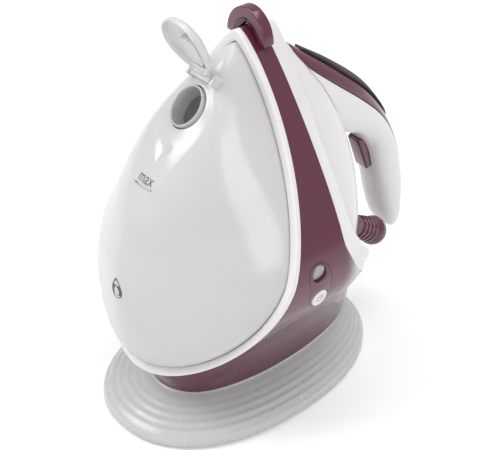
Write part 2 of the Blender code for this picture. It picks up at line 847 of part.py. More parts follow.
def handle_section(step, seat=8, rest=14):
    """Ring of the white handle, with a shallow seat for its cover."""
    middle, reach, half_x = handle_frame(step)
    edge = cover_angle(step)
    low = COVER_THICK + GAP if COVER_FIRST <= step <= COVER_LAST else 0.0
    ring = [section_point(middle, reach, half_x, mix(-edge, edge, i / seat), -low)
            for i in range(seat + 1)]
    ring += [section_point(middle, reach, half_x,
                           mix(edge + 0.03, 2 * math.pi - edge - 0.03, i / rest), 0.0)
             for i in range(rest + 1)]
    return ring


def section_point(middle, reach, half_x, a, out):
    c, s = math.cos(a), math.sin(a)
    length = reach.length
    point = middle + reach * (math.copysign(abs(c)**0.85, c) * (length + out) / length)
    point += Vector((math.copysign(abs(s)**0.85, s) * (half_x + out), 0, 0))
    return tuple(point)


def handle_skin(name, first, last, angle, low, high, skin, steps=22, arc=8):
    """A strip that lies on the handle's back between two steps."""
    rings = []
    for i in range(steps + 1):
        step = mix(first, last, i / steps)
        middle, reach, half_x = handle_frame(step)
        edge = angle(step)
        turns = [mix(-edge, edge, j / arc) for j in range(arc + 1)]
        top = [section_point(middle, reach, half_x, a, high(step)) for a in turns]
        under = [section_point(middle, reach, half_x, a, low(step)) for a in turns[::-1]]
        rings.append(top + under)
    return loft(name, rings, skin)


def make_iron_body():
    loft("soleplate", [plan_ring(SOLE_Y, 1.5), plan_ring(SOLE_Y + 1, 0.6),
                       plan_ring(SOLE_Y + SOLE_THICK, 0.6)], steel())
    shield_y = SOLE_Y + SOLE_THICK + GAP
    loft("heat_shield", [plan_ring(shield_y, 1.8), plan_ring(shield_y + SHIELD_THICK, 1.8)],
         dark_plastic())
    body = loft("iron_body", [body_section(z) for z in HEIGHTS], white_plastic())
    dial_y = dial_surface()
    boolean(body, rod("dial_well", DIAL_RADIUS + 0.6, 12, (0, dial_y, DIAL_Z), cutter_skin(), "Y",
                      32, CUTTERS))
    boolean(body, rod("thermostat_well", 10.5, 60, (0, dial_y - 34, DIAL_Z), cutter_skin(), "Y",
                      20, CUTTERS))
    start, axis = boot_line()
    boolean(body, rod("boot_socket", 9.2, 26, start, cutter_skin(), axis, 20, CUTTERS))
    return body


def dial_surface():
    return station(IRON_ROWS, DIAL_Z)[1]


def make_dial():
    y = dial_surface()
    turned("temperature_dial", ((0, 5.0), (DIAL_RADIUS - 3, 5.0), (DIAL_RADIUS - 0.5, 3.4),
                                (DIAL_RADIUS, 1.6), (DIAL_RADIUS, -3.2), (5, -3.2), (5, -5.4),
                                (0, -5.4)), (0, y, DIAL_Z), dark_plastic(), "Y", 36)
    turned("thermostat", ((0, 16), (3, 16), (3, 2), (9.8, 2), (9.8, -16), (0, -16)),
           (0, y - 22.5, DIAL_Z), grey_plastic(), "Y", 20)


def make_handle():
    steps = [i * 0.5 for i in range(20)] + [9.9, 10.2, 10.6]
    handle = loft("handle", [handle_section(s) for s in steps], white_plastic())
    grown = loft("body_form", [body_section(z, GAP) for z in (86, *HEIGHTS, 286)], cutter_skin(),
                 collection=CUTTERS)
    boolean(handle, grown)
    slot = box("trigger_slot", (13.6, 26, 33), TRIGGER_PLACE, cutter_skin(), collection=CUTTERS)
    slot.rotation_euler = (TRIGGER_TILT, 0, 0)
    boolean(handle, slot)
    cover = handle_skin("handle_cover", COVER_FIRST, COVER_LAST, lambda s: cover_angle(s) - 0.02,
                        lambda s: -COVER_THICK, lambda s: 0.0, burgundy_plastic(), steps=18)
    boolean(cover, grown)
    handle_skin("handle_grip", 1.0, 4.5, lambda s: 0.62 * math.sin(math.pi * (s - 0.8) / 3.9)**0.5,
                lambda s: GAP, lambda s: 1.8, dark_plastic(), steps=7, arc=6)


TRIGGER_PLACE = (0, 130.0, 141.0)
TRIGGER_TILT = math.radians(20)


def make_trigger():
    out = Vector((0, math.cos(TRIGGER_TILT), math.sin(TRIGGER_TILT)))
    trigger = box("steam_trigger", (13.0, 8, 32.0), Vector(TRIGGER_PLACE) - out * 2,
                  burgundy_plastic(), 1.5)
    switch = box("steam_switch", (8, 6, 12), Vector(TRIGGER_PLACE) + out * 7.5, dark_plastic())
    for piece in (trigger, switch):
        piece.rotation_euler = (TRIGGER_TILT, 0, 0)


def boot_line():
    """Where the hose boot leaves the heel, and its direction."""
    return Vector((20, 99, 94)), Vector((0, 0.82, -0.57)).normalized()


def make_boot():
    start, axis = boot_line()
    profile = [(0, 40), (5, 40), (9, 38.5), (11.2, 35), (11.8, 31), (11.0, 27)]
    for groove in range(4):
        top = 25.5 - groove * 4.6
        radius = 10.2 - groove * 0.35
        profile += [(radius, top), (radius, top - 2.6), (radius - 1.4, top - 3.1),
                    (radius - 1.4, top - 4.1)]
    profile += [(8.6, 6.0), (8.6, -6.0), (0, -6.0)]
    turned("hose_boot", profile, start, burgundy_plastic(), axis, 18)


def make_iron():
    make_iron_body()
    make_dial()
    make_handle()
    make_trigger()
    make_boot()


def main():
    global PARTS, CUTTERS
    for old in list(bpy.data.objects):
        bpy.data.objects.remove(old, do_unlink=True)
    PARTS = bpy.data.collections.new("steam_iron_station")
    CUTTERS = bpy.data.collections.new("cutters")
    for collection in (PARTS, CUTTERS):
        bpy.context.scene.collection.children.link(collection)
    make_foot()
    make_body()
    make_rim()
    make_controls()
    make_tank()
    make_filler_neck()
    make_flap()
    make_dock()
    make_clasp()
    make_works()
    make_iron()
    for made in [*PARTS.objects, *CUTTERS.objects]:
        made.location.y -= CENTRE_Y * MM


main()
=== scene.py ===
import functools
import math

import bmesh
import bpy
from bpy.props import FloatProperty, PointerProperty
from mathutils import Matrix, Vector
from mathutils.geometry import interpolate_bezier

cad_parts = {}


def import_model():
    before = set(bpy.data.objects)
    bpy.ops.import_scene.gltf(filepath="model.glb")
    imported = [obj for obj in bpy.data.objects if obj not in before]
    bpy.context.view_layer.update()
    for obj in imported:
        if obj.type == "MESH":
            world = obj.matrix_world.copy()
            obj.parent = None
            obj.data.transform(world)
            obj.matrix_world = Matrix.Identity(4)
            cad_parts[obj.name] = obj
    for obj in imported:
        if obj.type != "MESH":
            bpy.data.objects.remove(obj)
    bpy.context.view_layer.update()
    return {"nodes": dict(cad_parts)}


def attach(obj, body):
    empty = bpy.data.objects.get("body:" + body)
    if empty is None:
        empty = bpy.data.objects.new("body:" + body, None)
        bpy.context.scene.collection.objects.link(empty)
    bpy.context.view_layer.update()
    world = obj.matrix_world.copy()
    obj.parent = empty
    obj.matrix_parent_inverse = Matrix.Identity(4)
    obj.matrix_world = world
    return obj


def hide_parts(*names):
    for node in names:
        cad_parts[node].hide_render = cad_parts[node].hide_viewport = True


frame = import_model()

bl_info = {
    "name": "Steam Station",
    "version": (1, 0, 0),
    "blender": (4, 5, 0),
    "location": "View3D > Sidebar > Station",
    "description": "Builds a steam generator station with its docked iron round a fixed frame",
    "category": "Add Mesh",
}

MM = 0.001
CENTRE_Y = 28.6

# Egg outline, rim and dock edge, in millimetres
EGG_BOTTOM, EGG_TOP, EGG_WIDEST, EGG_HALF_WIDTH = 53.0, 288.5, 138.5, 93.5
EGG_SIDE = 84
RIM_FOOT_Y, RIM_TOP_Y, RIM_HOLLOW = -96.9, 0.5, 28.8
RIM_WIDTH, RIM_DEPTH = 6.3, 4.8
DOCK_Y, FLARE_FROM, FLARE_END = 20.0, 155.0, 84.0
FLARE_RATE, FLARE_POWER = 0.1128, 1.45
WALL, GAP = 2.5, 0.3
TUCK_ROWS = ((84.0, 0.86), (100.0, 0.875), (120.0, 0.93), (138.0, 0.98), (155.0, 1.0))
FRAME_ROWS = ((84.0, 2.0), (88.0, 4.0), (93.0, 13.0), (99.0, 18.0), (117.0, 21.0), (140.0, 19.0),
              (165.0, 16.5), (290.0, 15.5))
BASE_ROWS = (
    (24.0, 43.0, 87.0, 12.5),
    (38.0, 46.5, 90.5, 11.5),
    (54.0, 52.5, 91.0, 8.5),
    (70.0, 60.0, 86.5, 3.0),
    (84.0, 66.0, 75.0, -2.0),
)
FOOT_HALF_X, FOOT_HALF_Y, FOOT_EDGE, FOOT_TOP, FOOT_LIFT = 76.0, 111.5, 9.0, 24.0, 2.5
RIPPLES, FOOT_RINGS = 6, 60
TANK_WALL, TANK_MIDDLE, TANK_SLOPE = 2.2, 150.0, math.radians(45)
DOME_ROWS = (
    (59.0, -90.5, 1.7),
    (66.0, -99.5, 1.65),
    (78.0, -104.5, 1.6),
    (98.0, -107.5, 1.55),
    (125.0, -108.5, 1.5),
    (152.0, -106.0, 1.5),
    (178.0, -97.5, 1.55),
    (204.0, -80.5, 1.9),
    (220.0, -66.5, 2.3),
    (236.0, -51.5, 2.8),
    (250.0, -38.5, 3.1),
    (262.0, -26.5, 3.3),
    (272.0, -14.5, 3.4),
    (281.0, -0.5, 3.5),
)
FILLER_Z, FILLER_HALF_X, FILLER_HALF_V, FILLER_ROOM = 247.0, 10.5, 13.5, 2.6
FLAP_LENGTH, FLAP_HALF_X, FLAP_OPEN, HINGE_Z = 49.0, 21.0, math.radians(112), 263.0
PANEL_Y_MID, PANEL_Z_MID, PANEL_HALF_Y, PANEL_HALF_Z, PANEL_LEAN = -5.0, 131.5, 10.0, 20.0, 0.12
LENS_Z, BUTTON_Z = 143.0, 120.0
PRESS_AXIS = Vector((-0.985, 0, 0.174))
CLASP_FRONT, CLASP_DEPTH, CLASP_LOW = 10.0, 8.5, 279.0
IRON_WAY = 51.8

# Iron
HEEL_Z, NOSE_Z, SOLE_Y, SOLE_THICK, SHIELD_THICK = 88.0, 275.5, 26.0, 4.0, 4.4
DIAL_RADIUS, DIAL_Z = 19.0, 118.0
BODY_Y = SOLE_Y + SOLE_THICK + SHIELD_THICK + 2 * GAP
BODY_POWER = 2.4
IRON_ROWS = (
    (88.0, 49.0, 94.0),
    (94.0, 52.5, 99.0),
    (110.0, 55.0, 101.0),
    (130.0, 55.0, 100.0),
    (155.0, 52.5, 97.0),
    (180.0, 47.0, 92.0),
    (205.0, 39.0, 83.0),
    (228.0, 30.0, 71.0),
    (247.0, 20.0, 58.0),
    (262.0, 10.5, 47.0),
    (272.0, 4.2, 40.0),
    (NOSE_Z, 1.2, 37.5),
)
HANDLE_ROWS = (
    (0, 41.0, 268.0, 36.0, 260.0, 6.0),
    (1, 59.0, 254.0, 43.0, 236.0, 12.5),
    (2, 88.0, 233.0, 60.0, 205.0, 18.0),
    (3, 117.0, 208.0, 84.0, 179.0, 20.5),
    (4, 138.0, 180.0, 111.0, 165.0, 20.0),
    (5, 153.0, 153.5, 126.0, 149.0, 18.0),
    (6, 162.0, 130.0, 133.0, 129.0, 17.0),
    (7, 167.0, 108.0, 138.0, 108.0, 16.5),
    (8, 168.5, 88.0, 144.0, 86.5, 16.0),
    (9, 168.5, 71.0, 150.5, 68.5, 14.5),
    (10, 167.0, 60.0, 157.0, 58.5, 10.5),
    (10.6, 164.5, 56.5, 161.0, 56.0, 6.0),
)
COVER_ROWS = ((0, 78.0), (3, 66.0), (5, 58.0), (7, 44.0), (9, 28.0), (10, 22.0))
COVER_THICK, COVER_FIRST, COVER_LAST = 2.0, 0.5, 9.5
TRIGGER_PLACE, TRIGGER_TILT = (0, 130.0, 141.0), math.radians(20)


# ---------------------------------------------------------------- outlines


def mix(a, b, t):
    return a + (b - a) * t


def station(table, at):
    """Smooth values between rows of (place, value, value...)."""
    rows = table
    at = min(max(at, rows[0][0]), rows[-1][0])
    k = max(i for i, row in enumerate(rows[:-1]) if row[0] <= at)
    t = (at - rows[k][0]) / (rows[k + 1][0] - rows[k][0])
    before, after = rows[max(k - 1, 0)], rows[min(k + 2, len(rows) - 1)]
    values = []
    for p0, p1, p2, p3 in zip(before[1:], rows[k][1:], rows[k + 1][1:], after[1:]):
        m1, m2 = (p2 - p0) / 2, (p3 - p1) / 2
        values.append((2 * t**3 - 3 * t**2 + 1) * p1 + (t**3 - 2 * t**2 + t) * m1
                      + (3 * t**2 - 2 * t**3) * p2 + (t**3 - t**2) * m2)
    return values


@functools.lru_cache(maxsize=None)
def egg_side(amount=0.0):
    """Right half of the egg, moved inwards by amount, from the bottom up to the top."""
    wide = EGG_HALF_WIDTH - amount
    bottom, top = EGG_BOTTOM + amount, EGG_TOP - 1.4 * amount
    low = interpolate_bezier((0, bottom), (41 - 0.3 * amount, bottom), (wide, 94 + 0.3 * amount),
                             (wide, EGG_WIDEST), EGG_SIDE // 2)
    high = interpolate_bezier((wide, EGG_WIDEST), (wide, 168), (14 - 0.6 * amount, top), (0, top),
                              EGG_SIDE // 2 + 2)
    return tuple((p[0], p[1]) for p in low + high[1:])


def egg(amount=0.0):
    side = list(egg_side(amount))
    return side + [(-x, z) for x, z in side[-2:0:-1]]


def egg_half_width(z, amount=0.0):
    side = egg_side(amount)
    for (xa, za), (xb, zb) in zip(side, side[1:]):
        if za <= z <= zb and zb > za:
            return xa + (xb - xa) * (z - za) / (zb - za)
    return 0.0


def front_y(z):
    s = (z - EGG_BOTTOM) / (EGG_TOP - EGG_BOTTOM)
    return RIM_FOOT_Y + s * (RIM_TOP_Y - RIM_FOOT_Y) + RIM_HOLLOW * 4 * s * (1 - s)


def back_y(z):
    below = max(0.0, FLARE_FROM - max(z, FLARE_END))
    return DOCK_Y + FLARE_RATE * below**FLARE_POWER


def tuck(z):
    return station(TUCK_ROWS, min(max(z, 84.0), 155.0))[0]


def tank_y(x, z, wall=0.0):
    """Depth of the dome's surface, outside or a wall's thickness inside."""
    middle, roundness = station(DOME_ROWS, z)
    height = max(0.0, front_y(z) + 1.5 - middle - wall)
    width = max(egg_half_width(z, RIM_WIDTH + wall), 0.01)
    across = max(0.0, 1 - min(abs(x) / width, 1.0)**roundness)
    return front_y(z) + 1.5 - height * across**(1 / roundness)


def oval(half_x, half_y, power=2.0, count=144, centre_y=0.0):
    points = []
    for i in range(count):
        a = 2 * math.pi * i / count
        c, s = math.cos(a), math.sin(a)
        points.append((half_x * math.copysign(abs(c)**(2 / power), c),
                       centre_y + half_y * math.copysign(abs(s)**(2 / power), s)))
    return points


# ---------------------------------------------------------------- mesh helpers


def world(point):
    """A place in the drawing's millimetres as a place in the frame's metres."""
    return Vector((point[0], point[1] - CENTRE_Y, point[2])) * MM


def deselect():
    if bpy.context.mode != "OBJECT":
        bpy.ops.object.mode_set(mode="OBJECT")
    bpy.ops.object.select_all(action="DESELECT")


def only(made):
    deselect()
    made.select_set(True)
    bpy.context.view_layer.objects.active = made


def loft(name, rings, closed=False):
    """Skins rings of places in millimetres; closed joins the last ring to the first."""
    bm = bmesh.new()
    rows = [[bm.verts.new(world(p)) for p in ring] for ring in rings]
    count = len(rows[0])
    for lower, upper in list(zip(rows, rows[1:])) + ([(rows[-1], rows[0])] if closed else []):
        for i in range(count):
            j = (i + 1) % count
            bm.faces.new((lower[i], lower[j], upper[j], upper[i]))
    if not closed:
        for ring in (rows[0], rows[-1]):
            middle = sum((v.co for v in ring), Vector()) / count
            pole = bm.verts.new(middle)
            for i in range(count):
                bm.faces.new((ring[i], ring[(i + 1) % count], pole))
    bmesh.ops.remove_doubles(bm, verts=bm.verts, dist=2e-6)
    bmesh.ops.dissolve_degenerate(bm, edges=bm.edges, dist=1e-6)
    bmesh.ops.recalc_face_normals(bm, faces=bm.faces)
    mesh = bpy.data.meshes.new(name)
    bm.to_mesh(mesh)
    bm.free()
    made = bpy.data.objects.new(name, mesh)
    bpy.context.scene.collection.objects.link(made)
    return made


def apply_modifiers(made):
    only(made)
    for modifier in list(made.modifiers):
        bpy.ops.object.modifier_apply(modifier=modifier.name)


def settle(made):
    """Moves an object's place into its mesh."""
    only(made)
    bpy.ops.object.transform_apply(location=True, rotation=True, scale=True)


def bevel(made, width, segments=3, angle=35):
    modifier = made.modifiers.new("edges", "BEVEL")
    modifier.width = width * MM
    modifier.segments = segments
    modifier.limit_method = "ANGLE"
    modifier.angle_limit = math.radians(angle)
    apply_modifiers(made)


def boolean(made, other, operation="DIFFERENCE"):
    modifier = made.modifiers.new("cut", "BOOLEAN")
    modifier.object = other
    modifier.operation = operation
    modifier.solver = "EXACT"
    apply_modifiers(made)
    bpy.data.objects.remove(other, do_unlink=True)


def turn_along(made, place, axis):
    made.rotation_mode = "QUATERNION"
    made.rotation_quaternion = Vector(axis).to_track_quat("Z", "X")
    made.location = world(place)
    settle(made)


def rod(name, radius, length, place, axis=(0, 0, 1), sides=48, squash=1.0):
    deselect()
    bpy.ops.mesh.primitive_cylinder_add(vertices=sides, radius=radius * MM, depth=length * MM)
    made = bpy.context.object
    made.name = name
    made.scale = (squash, 1, 1)
    settle(made)
    turn_along(made, place, axis)
    return made


def slab(name, size, place, tilt=0.0, radius=0.0, segments=4):
    """A block turned about X, with rounded edges."""
    deselect()
    bpy.ops.mesh.primitive_cube_add(size=1)
    made = bpy.context.object
    made.name = name
    made.scale = Vector(size) * MM
    settle(made)
    if radius:
        bpy.ops.object.mode_set(mode="EDIT")
        bpy.ops.mesh.select_all(action="SELECT")
        bpy.ops.mesh.bevel(offset=radius * MM, segments=segments, affect="EDGES")
        bpy.ops.object.mode_set(mode="OBJECT")
    made.rotation_euler = (tilt, 0, 0)
    made.location = world(place)
    settle(made)
    return made


def turned(name, profile, place, axis=(0, 0, 1), steps=96):
    """Spins (radius, height) pairs round an axis through a place."""
    mesh = bpy.data.meshes.new(name)
    points = [(r * MM, 0, h * MM) for r, h in profile]
    mesh.from_pydata(points, [(i, i + 1) for i in range(len(points) - 1)], [])
    made = bpy.data.objects.new(name, mesh)
    bpy.context.scene.collection.objects.link(made)
    only(made)
    bpy.ops.object.mode_set(mode="EDIT")
    bpy.ops.mesh.select_all(action="SELECT")
    bpy.ops.mesh.spin(steps=steps, angle=2 * math.pi, center=(0, 0, 0), axis=(0, 0, 1))
    bpy.ops.mesh.select_all(action="SELECT")
    bpy.ops.mesh.remove_doubles(threshold=2e-6)
    bpy.ops.mesh.normals_make_consistent(inside=False)
    bpy.ops.object.mode_set(mode="OBJECT")
    turn_along(made, place, axis)
    return made


def rounded(profile, radius=0.6, steps=4):
    """Rounds the corners of an open (radius, height) profile."""
    points = [Vector(p) for p in profile]
    result = [tuple(points[0])]
    for before, here, after in zip(points, points[1:], points[2:]):
        room = min(radius, (here - before).length * 0.45, (after - here).length * 0.45)
        start = here + (before - here).normalized() * room
        end = here + (after - here).normalized() * room
        for i in range(steps + 1):
            t = i / steps
            result.append(tuple(start * (1 - t)**2 + here * 2 * t * (1 - t) + end * t**2))
    return result + [tuple(points[-1])]


def tube(name, points, radius, resolution=4):
    curve = bpy.data.curves.new(name, "CURVE")
    curve.dimensions = "3D"
    curve.bevel_depth = radius * MM
    curve.bevel_resolution = resolution
    curve.use_fill_caps = True
    spline = curve.splines.new("POLY")
    spline.points.add(len(points) - 1)
    for place, point in zip(spline.points, points):
        place.co = (*world(point), 1)
    made = bpy.data.objects.new(name, curve)
    bpy.context.scene.collection.objects.link(made)
    only(made)
    bpy.ops.object.convert(target="MESH")
    return bpy.context.object


def join(made, *others):
    only(made)
    for other in others:
        other.select_set(True)
    bpy.ops.object.join()
    return made


def dress(made, body, skin, nodes=(), angle=35):
    """Shades, colours and mounts a finished piece."""
    only(made)
    bpy.ops.object.shade_smooth_by_angle(angle=math.radians(angle))
    made.data.materials.clear()
    made.data.materials.append(skin)
    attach(made, body)
    if nodes:
        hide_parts(*nodes)
    deselect()
    return made


def carry(node, skin, angle=30):
    """Gives a CAD node that is kept its finish and smooth shading."""
    made = frame["nodes"][node]
    made.data.polygons.foreach_set("use_smooth", [True] * len(made.data.polygons))
    weld = made.modifiers.new("weld", "WELD")
    weld.merge_threshold = 2e-6
    split = made.modifiers.new("creases", "EDGE_SPLIT")
    split.split_angle = math.radians(angle)
    for place in made.material_slots:
        place.material = skin


# ---------------------------------------------------------------- finishes


def new_group(name, inputs, outputs):
    group = bpy.data.node_groups.new(name, "ShaderNodeTree")
    for label, kind, value in inputs:
        socket = group.interface.new_socket(label, in_out="INPUT", socket_type=kind)
        socket.default_value = value
    for label, kind in outputs:
        group.interface.new_socket(label, in_out="OUTPUT", socket_type=kind)
    return group, group.nodes.new("NodeGroupInput"), group.nodes.new("NodeGroupOutput")


def surface_group():
    """Clouded tint, fine scuffs in the roughness, and a moulded grain."""
    found = bpy.data.node_groups.get("surface_detail")
    if found:
        return found
    colour, number = "NodeSocketColor", "NodeSocketFloat"
    group, taken, given = new_group(
        "surface_detail",
        (("Light", colour, (0.8, 0.8, 0.8, 1)), ("Dark", colour, (0.7, 0.7, 0.7, 1)),
         ("Smooth", number, 0.25), ("Rough", number, 0.35), ("Grain", number, 900.0),
         ("Relief", number, 0.05)),
        (("Colour", colour), ("Roughness", number), ("Normal", "NodeSocketVector")))
    nodes, links = group.nodes, group.links
    place = nodes.new("ShaderNodeTexCoord")

    def noise(scale, detail):
        made = nodes.new("ShaderNodeTexNoise")
        made.inputs["Scale"].default_value = scale
        made.inputs["Detail"].default_value = detail
        links.new(place.outputs["Object"], made.inputs["Vector"])
        return made
    cloud, scuff, grain = noise(14.0, 4.0), noise(55.0, 8.0), noise(900.0, 2.0)
    links.new(taken.outputs["Grain"], grain.inputs["Scale"])
    tint = nodes.new("ShaderNodeMix")
    tint.data_type = "RGBA"
    links.new(cloud.outputs["Fac"], tint.inputs["Factor"])
    links.new(taken.outputs["Light"], tint.inputs["A"])
    links.new(taken.outputs["Dark"], tint.inputs["B"])
    links.new(tint.outputs["Result"], given.inputs["Colour"])
    worn = nodes.new("ShaderNodeMapRange")
    links.new(scuff.outputs["Fac"], worn.inputs["Value"])
    worn.inputs["From Min"].default_value = 0.3
    worn.inputs["From Max"].default_value = 0.75
    links.new(taken.outputs["Smooth"], worn.inputs["To Min"])
    links.new(taken.outputs["Rough"], worn.inputs["To Max"])
    links.new(worn.outputs["Result"], given.inputs["Roughness"])
    relief = nodes.new("ShaderNodeBump")
    relief.inputs["Distance"].default_value = 0.0003
    links.new(grain.outputs["Fac"], relief.inputs["Height"])
    links.new(taken.outputs["Relief"], relief.inputs["Strength"])
    links.new(relief.outputs["Normal"], given.inputs["Normal"])
    return group


def finish_of(name, light, dark, smooth, rough, grain=900.0, relief=0.05, **settings):
    found = bpy.data.materials.get(name)
    if found:
        return found
    made = bpy.data.materials.new(name)
    made.use_nodes = True
    nodes, links = made.node_tree.nodes, made.node_tree.links
    shader = nodes["Principled BSDF"]
    detail = nodes.new("ShaderNodeGroup")
    detail.node_tree = surface_group()
    detail.inputs["Light"].default_value = (*light, 1)
    detail.inputs["Dark"].default_value = (*dark, 1)
    for label, value in (("Smooth", smooth), ("Rough", rough), ("Grain", grain), ("Relief", relief)):
        detail.inputs[label].default_value = value
    links.new(detail.outputs["Colour"], shader.inputs["Base Color"])
    links.new(detail.outputs["Roughness"], shader.inputs["Roughness"])
    links.new(detail.outputs["Normal"], shader.inputs["Normal"])
    for label, value in settings.items():
        shader.inputs[label.replace("_", " ").title().replace("Ior", "IOR")].default_value = value
    return made


def white():
    return finish_of("white gloss", (0.80, 0.785, 0.79), (0.76, 0.745, 0.75), 0.16, 0.27, 700, 0.03,
                     coat_weight=0.25)


def burgundy():
    return finish_of("burgundy gloss", (0.120, 0.020, 0.046), (0.092, 0.015, 0.035), 0.12, 0.24, 800,
                     0.03, coat_weight=0.6)


def milky():
    return finish_of("milky plastic", (0.88, 0.868, 0.875), (0.83, 0.822, 0.828), 0.14, 0.24, 500,
                     0.03, transmission_weight=0.35, coat_weight=0.2)


def frosted():
    return finish_of("frosted foot", (0.74, 0.75, 0.75), (0.68, 0.695, 0.695), 0.2, 0.34, 600, 0.05,
                     transmission_weight=0.2)


def clear():
    return finish_of("clear plastic", (0.84, 0.85, 0.85), (0.78, 0.80, 0.80), 0.12, 0.22, 500,
                     0.03, transmission_weight=0.5)


def charcoal():
    return finish_of("charcoal plastic", (0.026, 0.030, 0.030), (0.018, 0.021, 0.021), 0.42, 0.62,
                     1500, 0.35)


def mark_grey():
    return finish_of("mark print", (0.10, 0.10, 0.105), (0.07, 0.07, 0.075), 0.4, 0.5)


def grey():
    return finish_of("grey plastic", (0.36, 0.38, 0.41), (0.31, 0.33, 0.36), 0.2, 0.35)


def black_rubber():
    return finish_of("black rubber", (0.030, 0.030, 0.030), (0.02, 0.02, 0.02), 0.7, 0.9, 1200, 0.5)


def pale_silicone():
    return finish_of("pale silicone", (0.45, 0.45, 0.45), (0.38, 0.38, 0.38), 0.55, 0.75, 900, 0.3)


def bright_steel():
    return finish_of("bright steel", (0.66, 0.66, 0.64), (0.56, 0.56, 0.55), 0.2, 0.38, 400, 0.1,
                     metallic=1.0)


def warm_brass():
    return finish_of("warm brass", (0.72, 0.53, 0.24), (0.6, 0.42, 0.18), 0.25, 0.45, 400, 0.1,
                     metallic=1.0)


def circuit_green():
    return finish_of("circuit green", (0.04, 0.19, 0.08), (0.02, 0.12, 0.05), 0.3, 0.5, 300, 0.4)


# ---------------------------------------------------------------- foot and body


def foot_ring(t, z, grow=0.0):
    """Plan ring of the foot, from its outer edge at 0 to the body's footprint at 1."""
    outer = oval(FOOT_HALF_X + grow, FOOT_HALF_Y + grow, 2.2)
    inner = oval(BASE_ROWS[0][1], BASE_ROWS[0][2], 2.3, centre_y=BASE_ROWS[0][3])
    return [(mix(ox, ix, t), mix(oy, iy, t), z) for (ox, oy), (ix, iy) in zip(outer, inner)]


def foot_height(t, ripple):
    wave = ripple * (1 - math.cos(2 * math.pi * t * RIPPLES)) * (1 - t)
    return mix(FOOT_EDGE, FOOT_TOP - 1, t**0.75) - wave


def make_foot(ripple):
    rings = [foot_ring(0, FOOT_LIFT, -1.2), foot_ring(0, FOOT_LIFT + 0.4, -0.4),
             foot_ring(0, FOOT_LIFT + 1.2), foot_ring(0, FOOT_EDGE - 2.2),
             foot_ring(0.004, FOOT_EDGE - 1.2), foot_ring(0.012, FOOT_EDGE - 0.4)]
    shares = [0.02 + 0.95 * i / FOOT_RINGS for i in range(1, FOOT_RINGS + 1)]
    rings += [foot_ring(t, foot_height(t, ripple)) for t in shares]
    rings += [foot_ring(1.0, FOOT_TOP), foot_ring(0.95, FOOT_TOP - 3.5), foot_ring(0.9, FOOT_TOP - 4),
              foot_ring(0.35, FOOT_EDGE + 3), foot_ring(0.04, FOOT_EDGE - 3),
              foot_ring(0.04, FOOT_LIFT)]
    dress(loft("foot", rings, closed=True), "station", frosted(), ("foot_base",))


def base_ring(z, amount=0.0):
    half_x, half_y, middle = station(BASE_ROWS, z)
    return [(x, y, z) for x, y in oval(half_x - amount, half_y - amount, 2.5, centre_y=middle)]


def level(amount, y):
    """The egg at one depth."""
    return [(x, y, z) for x, z in egg(amount)]


def rim_ring(amount, depth):
    """The egg, moved inwards and back from the rim's leaning face."""
    return [(x, front_y(z) + depth, z) for x, z in egg(amount)]


def make_body():
    def between(amount, t):
        """A ring between the level one and the flared edge."""
        ring = []
        for x, z in egg(amount):
            y = mix(DOCK_Y - 1, back_y(z), t)
            share = 1 - (1 - tuck(z)) * t * t
            ring.append((x * share, y, z))
        return ring
    rings = [rim_ring(WALL, RIM_DEPTH), rim_ring(0.3, RIM_DEPTH), rim_ring(0, RIM_DEPTH + 0.3)]
    rings += [level(0, DOCK_Y - 1)] + [between(0, i / 10) for i in range(1, 11)]
    rings += [between(WALL, i / 10) for i in range(10, 0, -1)] + [level(WALL, DOCK_Y - 1)]
    shell = loft("body_band", rings, closed=True)
    boolean(shell, panel_prism("panel hole", 0.0))
    dress(shell, "station", burgundy(), ("body_shell",))
    top = FLARE_END - GAP
    heights = [FOOT_TOP + GAP, 25.2] + [mix(26, top - 0.5, i / 24) for i in range(25)] + [top]
    rings = [base_ring(z, 0.5 if k in (0, len(heights) - 1) else 0) for k, z in enumerate(heights)]
    base = loft("base_shell", rings + [base_ring(z, WALL) for z in heights[::-1]], closed=True)
    core = [[(x, y, z) for x, z in egg(WALL)] for y in (-130, back_y(84) - 6)]
    boolean(base, loft("egg core", core))
    dress(base, "station", burgundy())
    ledge = [[(x, max(y, -58.0), z) for x, y, z in base_ring(z, 0.6)] for z in (top - 3.0, top - 0.3)]
    dress(loft("base_ledge", ledge), "station", burgundy())


def make_rim():
    outer, inner, steps = 1.7, 1.5, 7
    rings = [rim_ring(0, RIM_DEPTH - GAP), rim_ring(0, outer)]
    for i in range(1, steps + 1):
        a = math.pi / 2 * i / steps
        rings.append(rim_ring(outer * (1 - math.cos(a)), outer * (1 - math.sin(a))))
    for i in range(steps + 1):
        a = math.pi / 2 * i / steps
        rings.append(rim_ring(RIM_WIDTH - inner * (1 - math.sin(a)), inner * (1 - math.cos(a))))
    rings.append(rim_ring(RIM_WIDTH, RIM_DEPTH - GAP))
    dress(loft("rim", rings, closed=True), "station", white(), ("front_rim",))
    seam = [rim_ring(RIM_WIDTH - 0.02, 1.9), rim_ring(RIM_WIDTH - 0.02, 1.4),
            rim_ring(RIM_WIDTH + 0.32, 1.4), rim_ring(RIM_WIDTH + 0.32, 1.9)]
    dress(loft("rim_seal", seam, closed=True), "station", mark_grey())


# ---------------------------------------------------------------- controls


def panel_outline(amount):
    """Obround in Y and Z that leans with the rim."""
    points = []
    for end, start in ((1, 0.0), (-1, math.pi)):
        for i in range(25):
            a = start + math.pi * i / 24
            y = (PANEL_HALF_Y - amount) * math.cos(a)
            z = end * (PANEL_HALF_Z - PANEL_HALF_Y) + (PANEL_HALF_Y - amount) * math.sin(a)
            points.append((PANEL_Y_MID + y - PANEL_LEAN * z, PANEL_Z_MID + z))
    return points


def panel_prism(name, amount, near=80.0, far=110.0):
    return loft(name, [[(x, y, z) for y, z in panel_outline(amount)] for x in (near, far)])


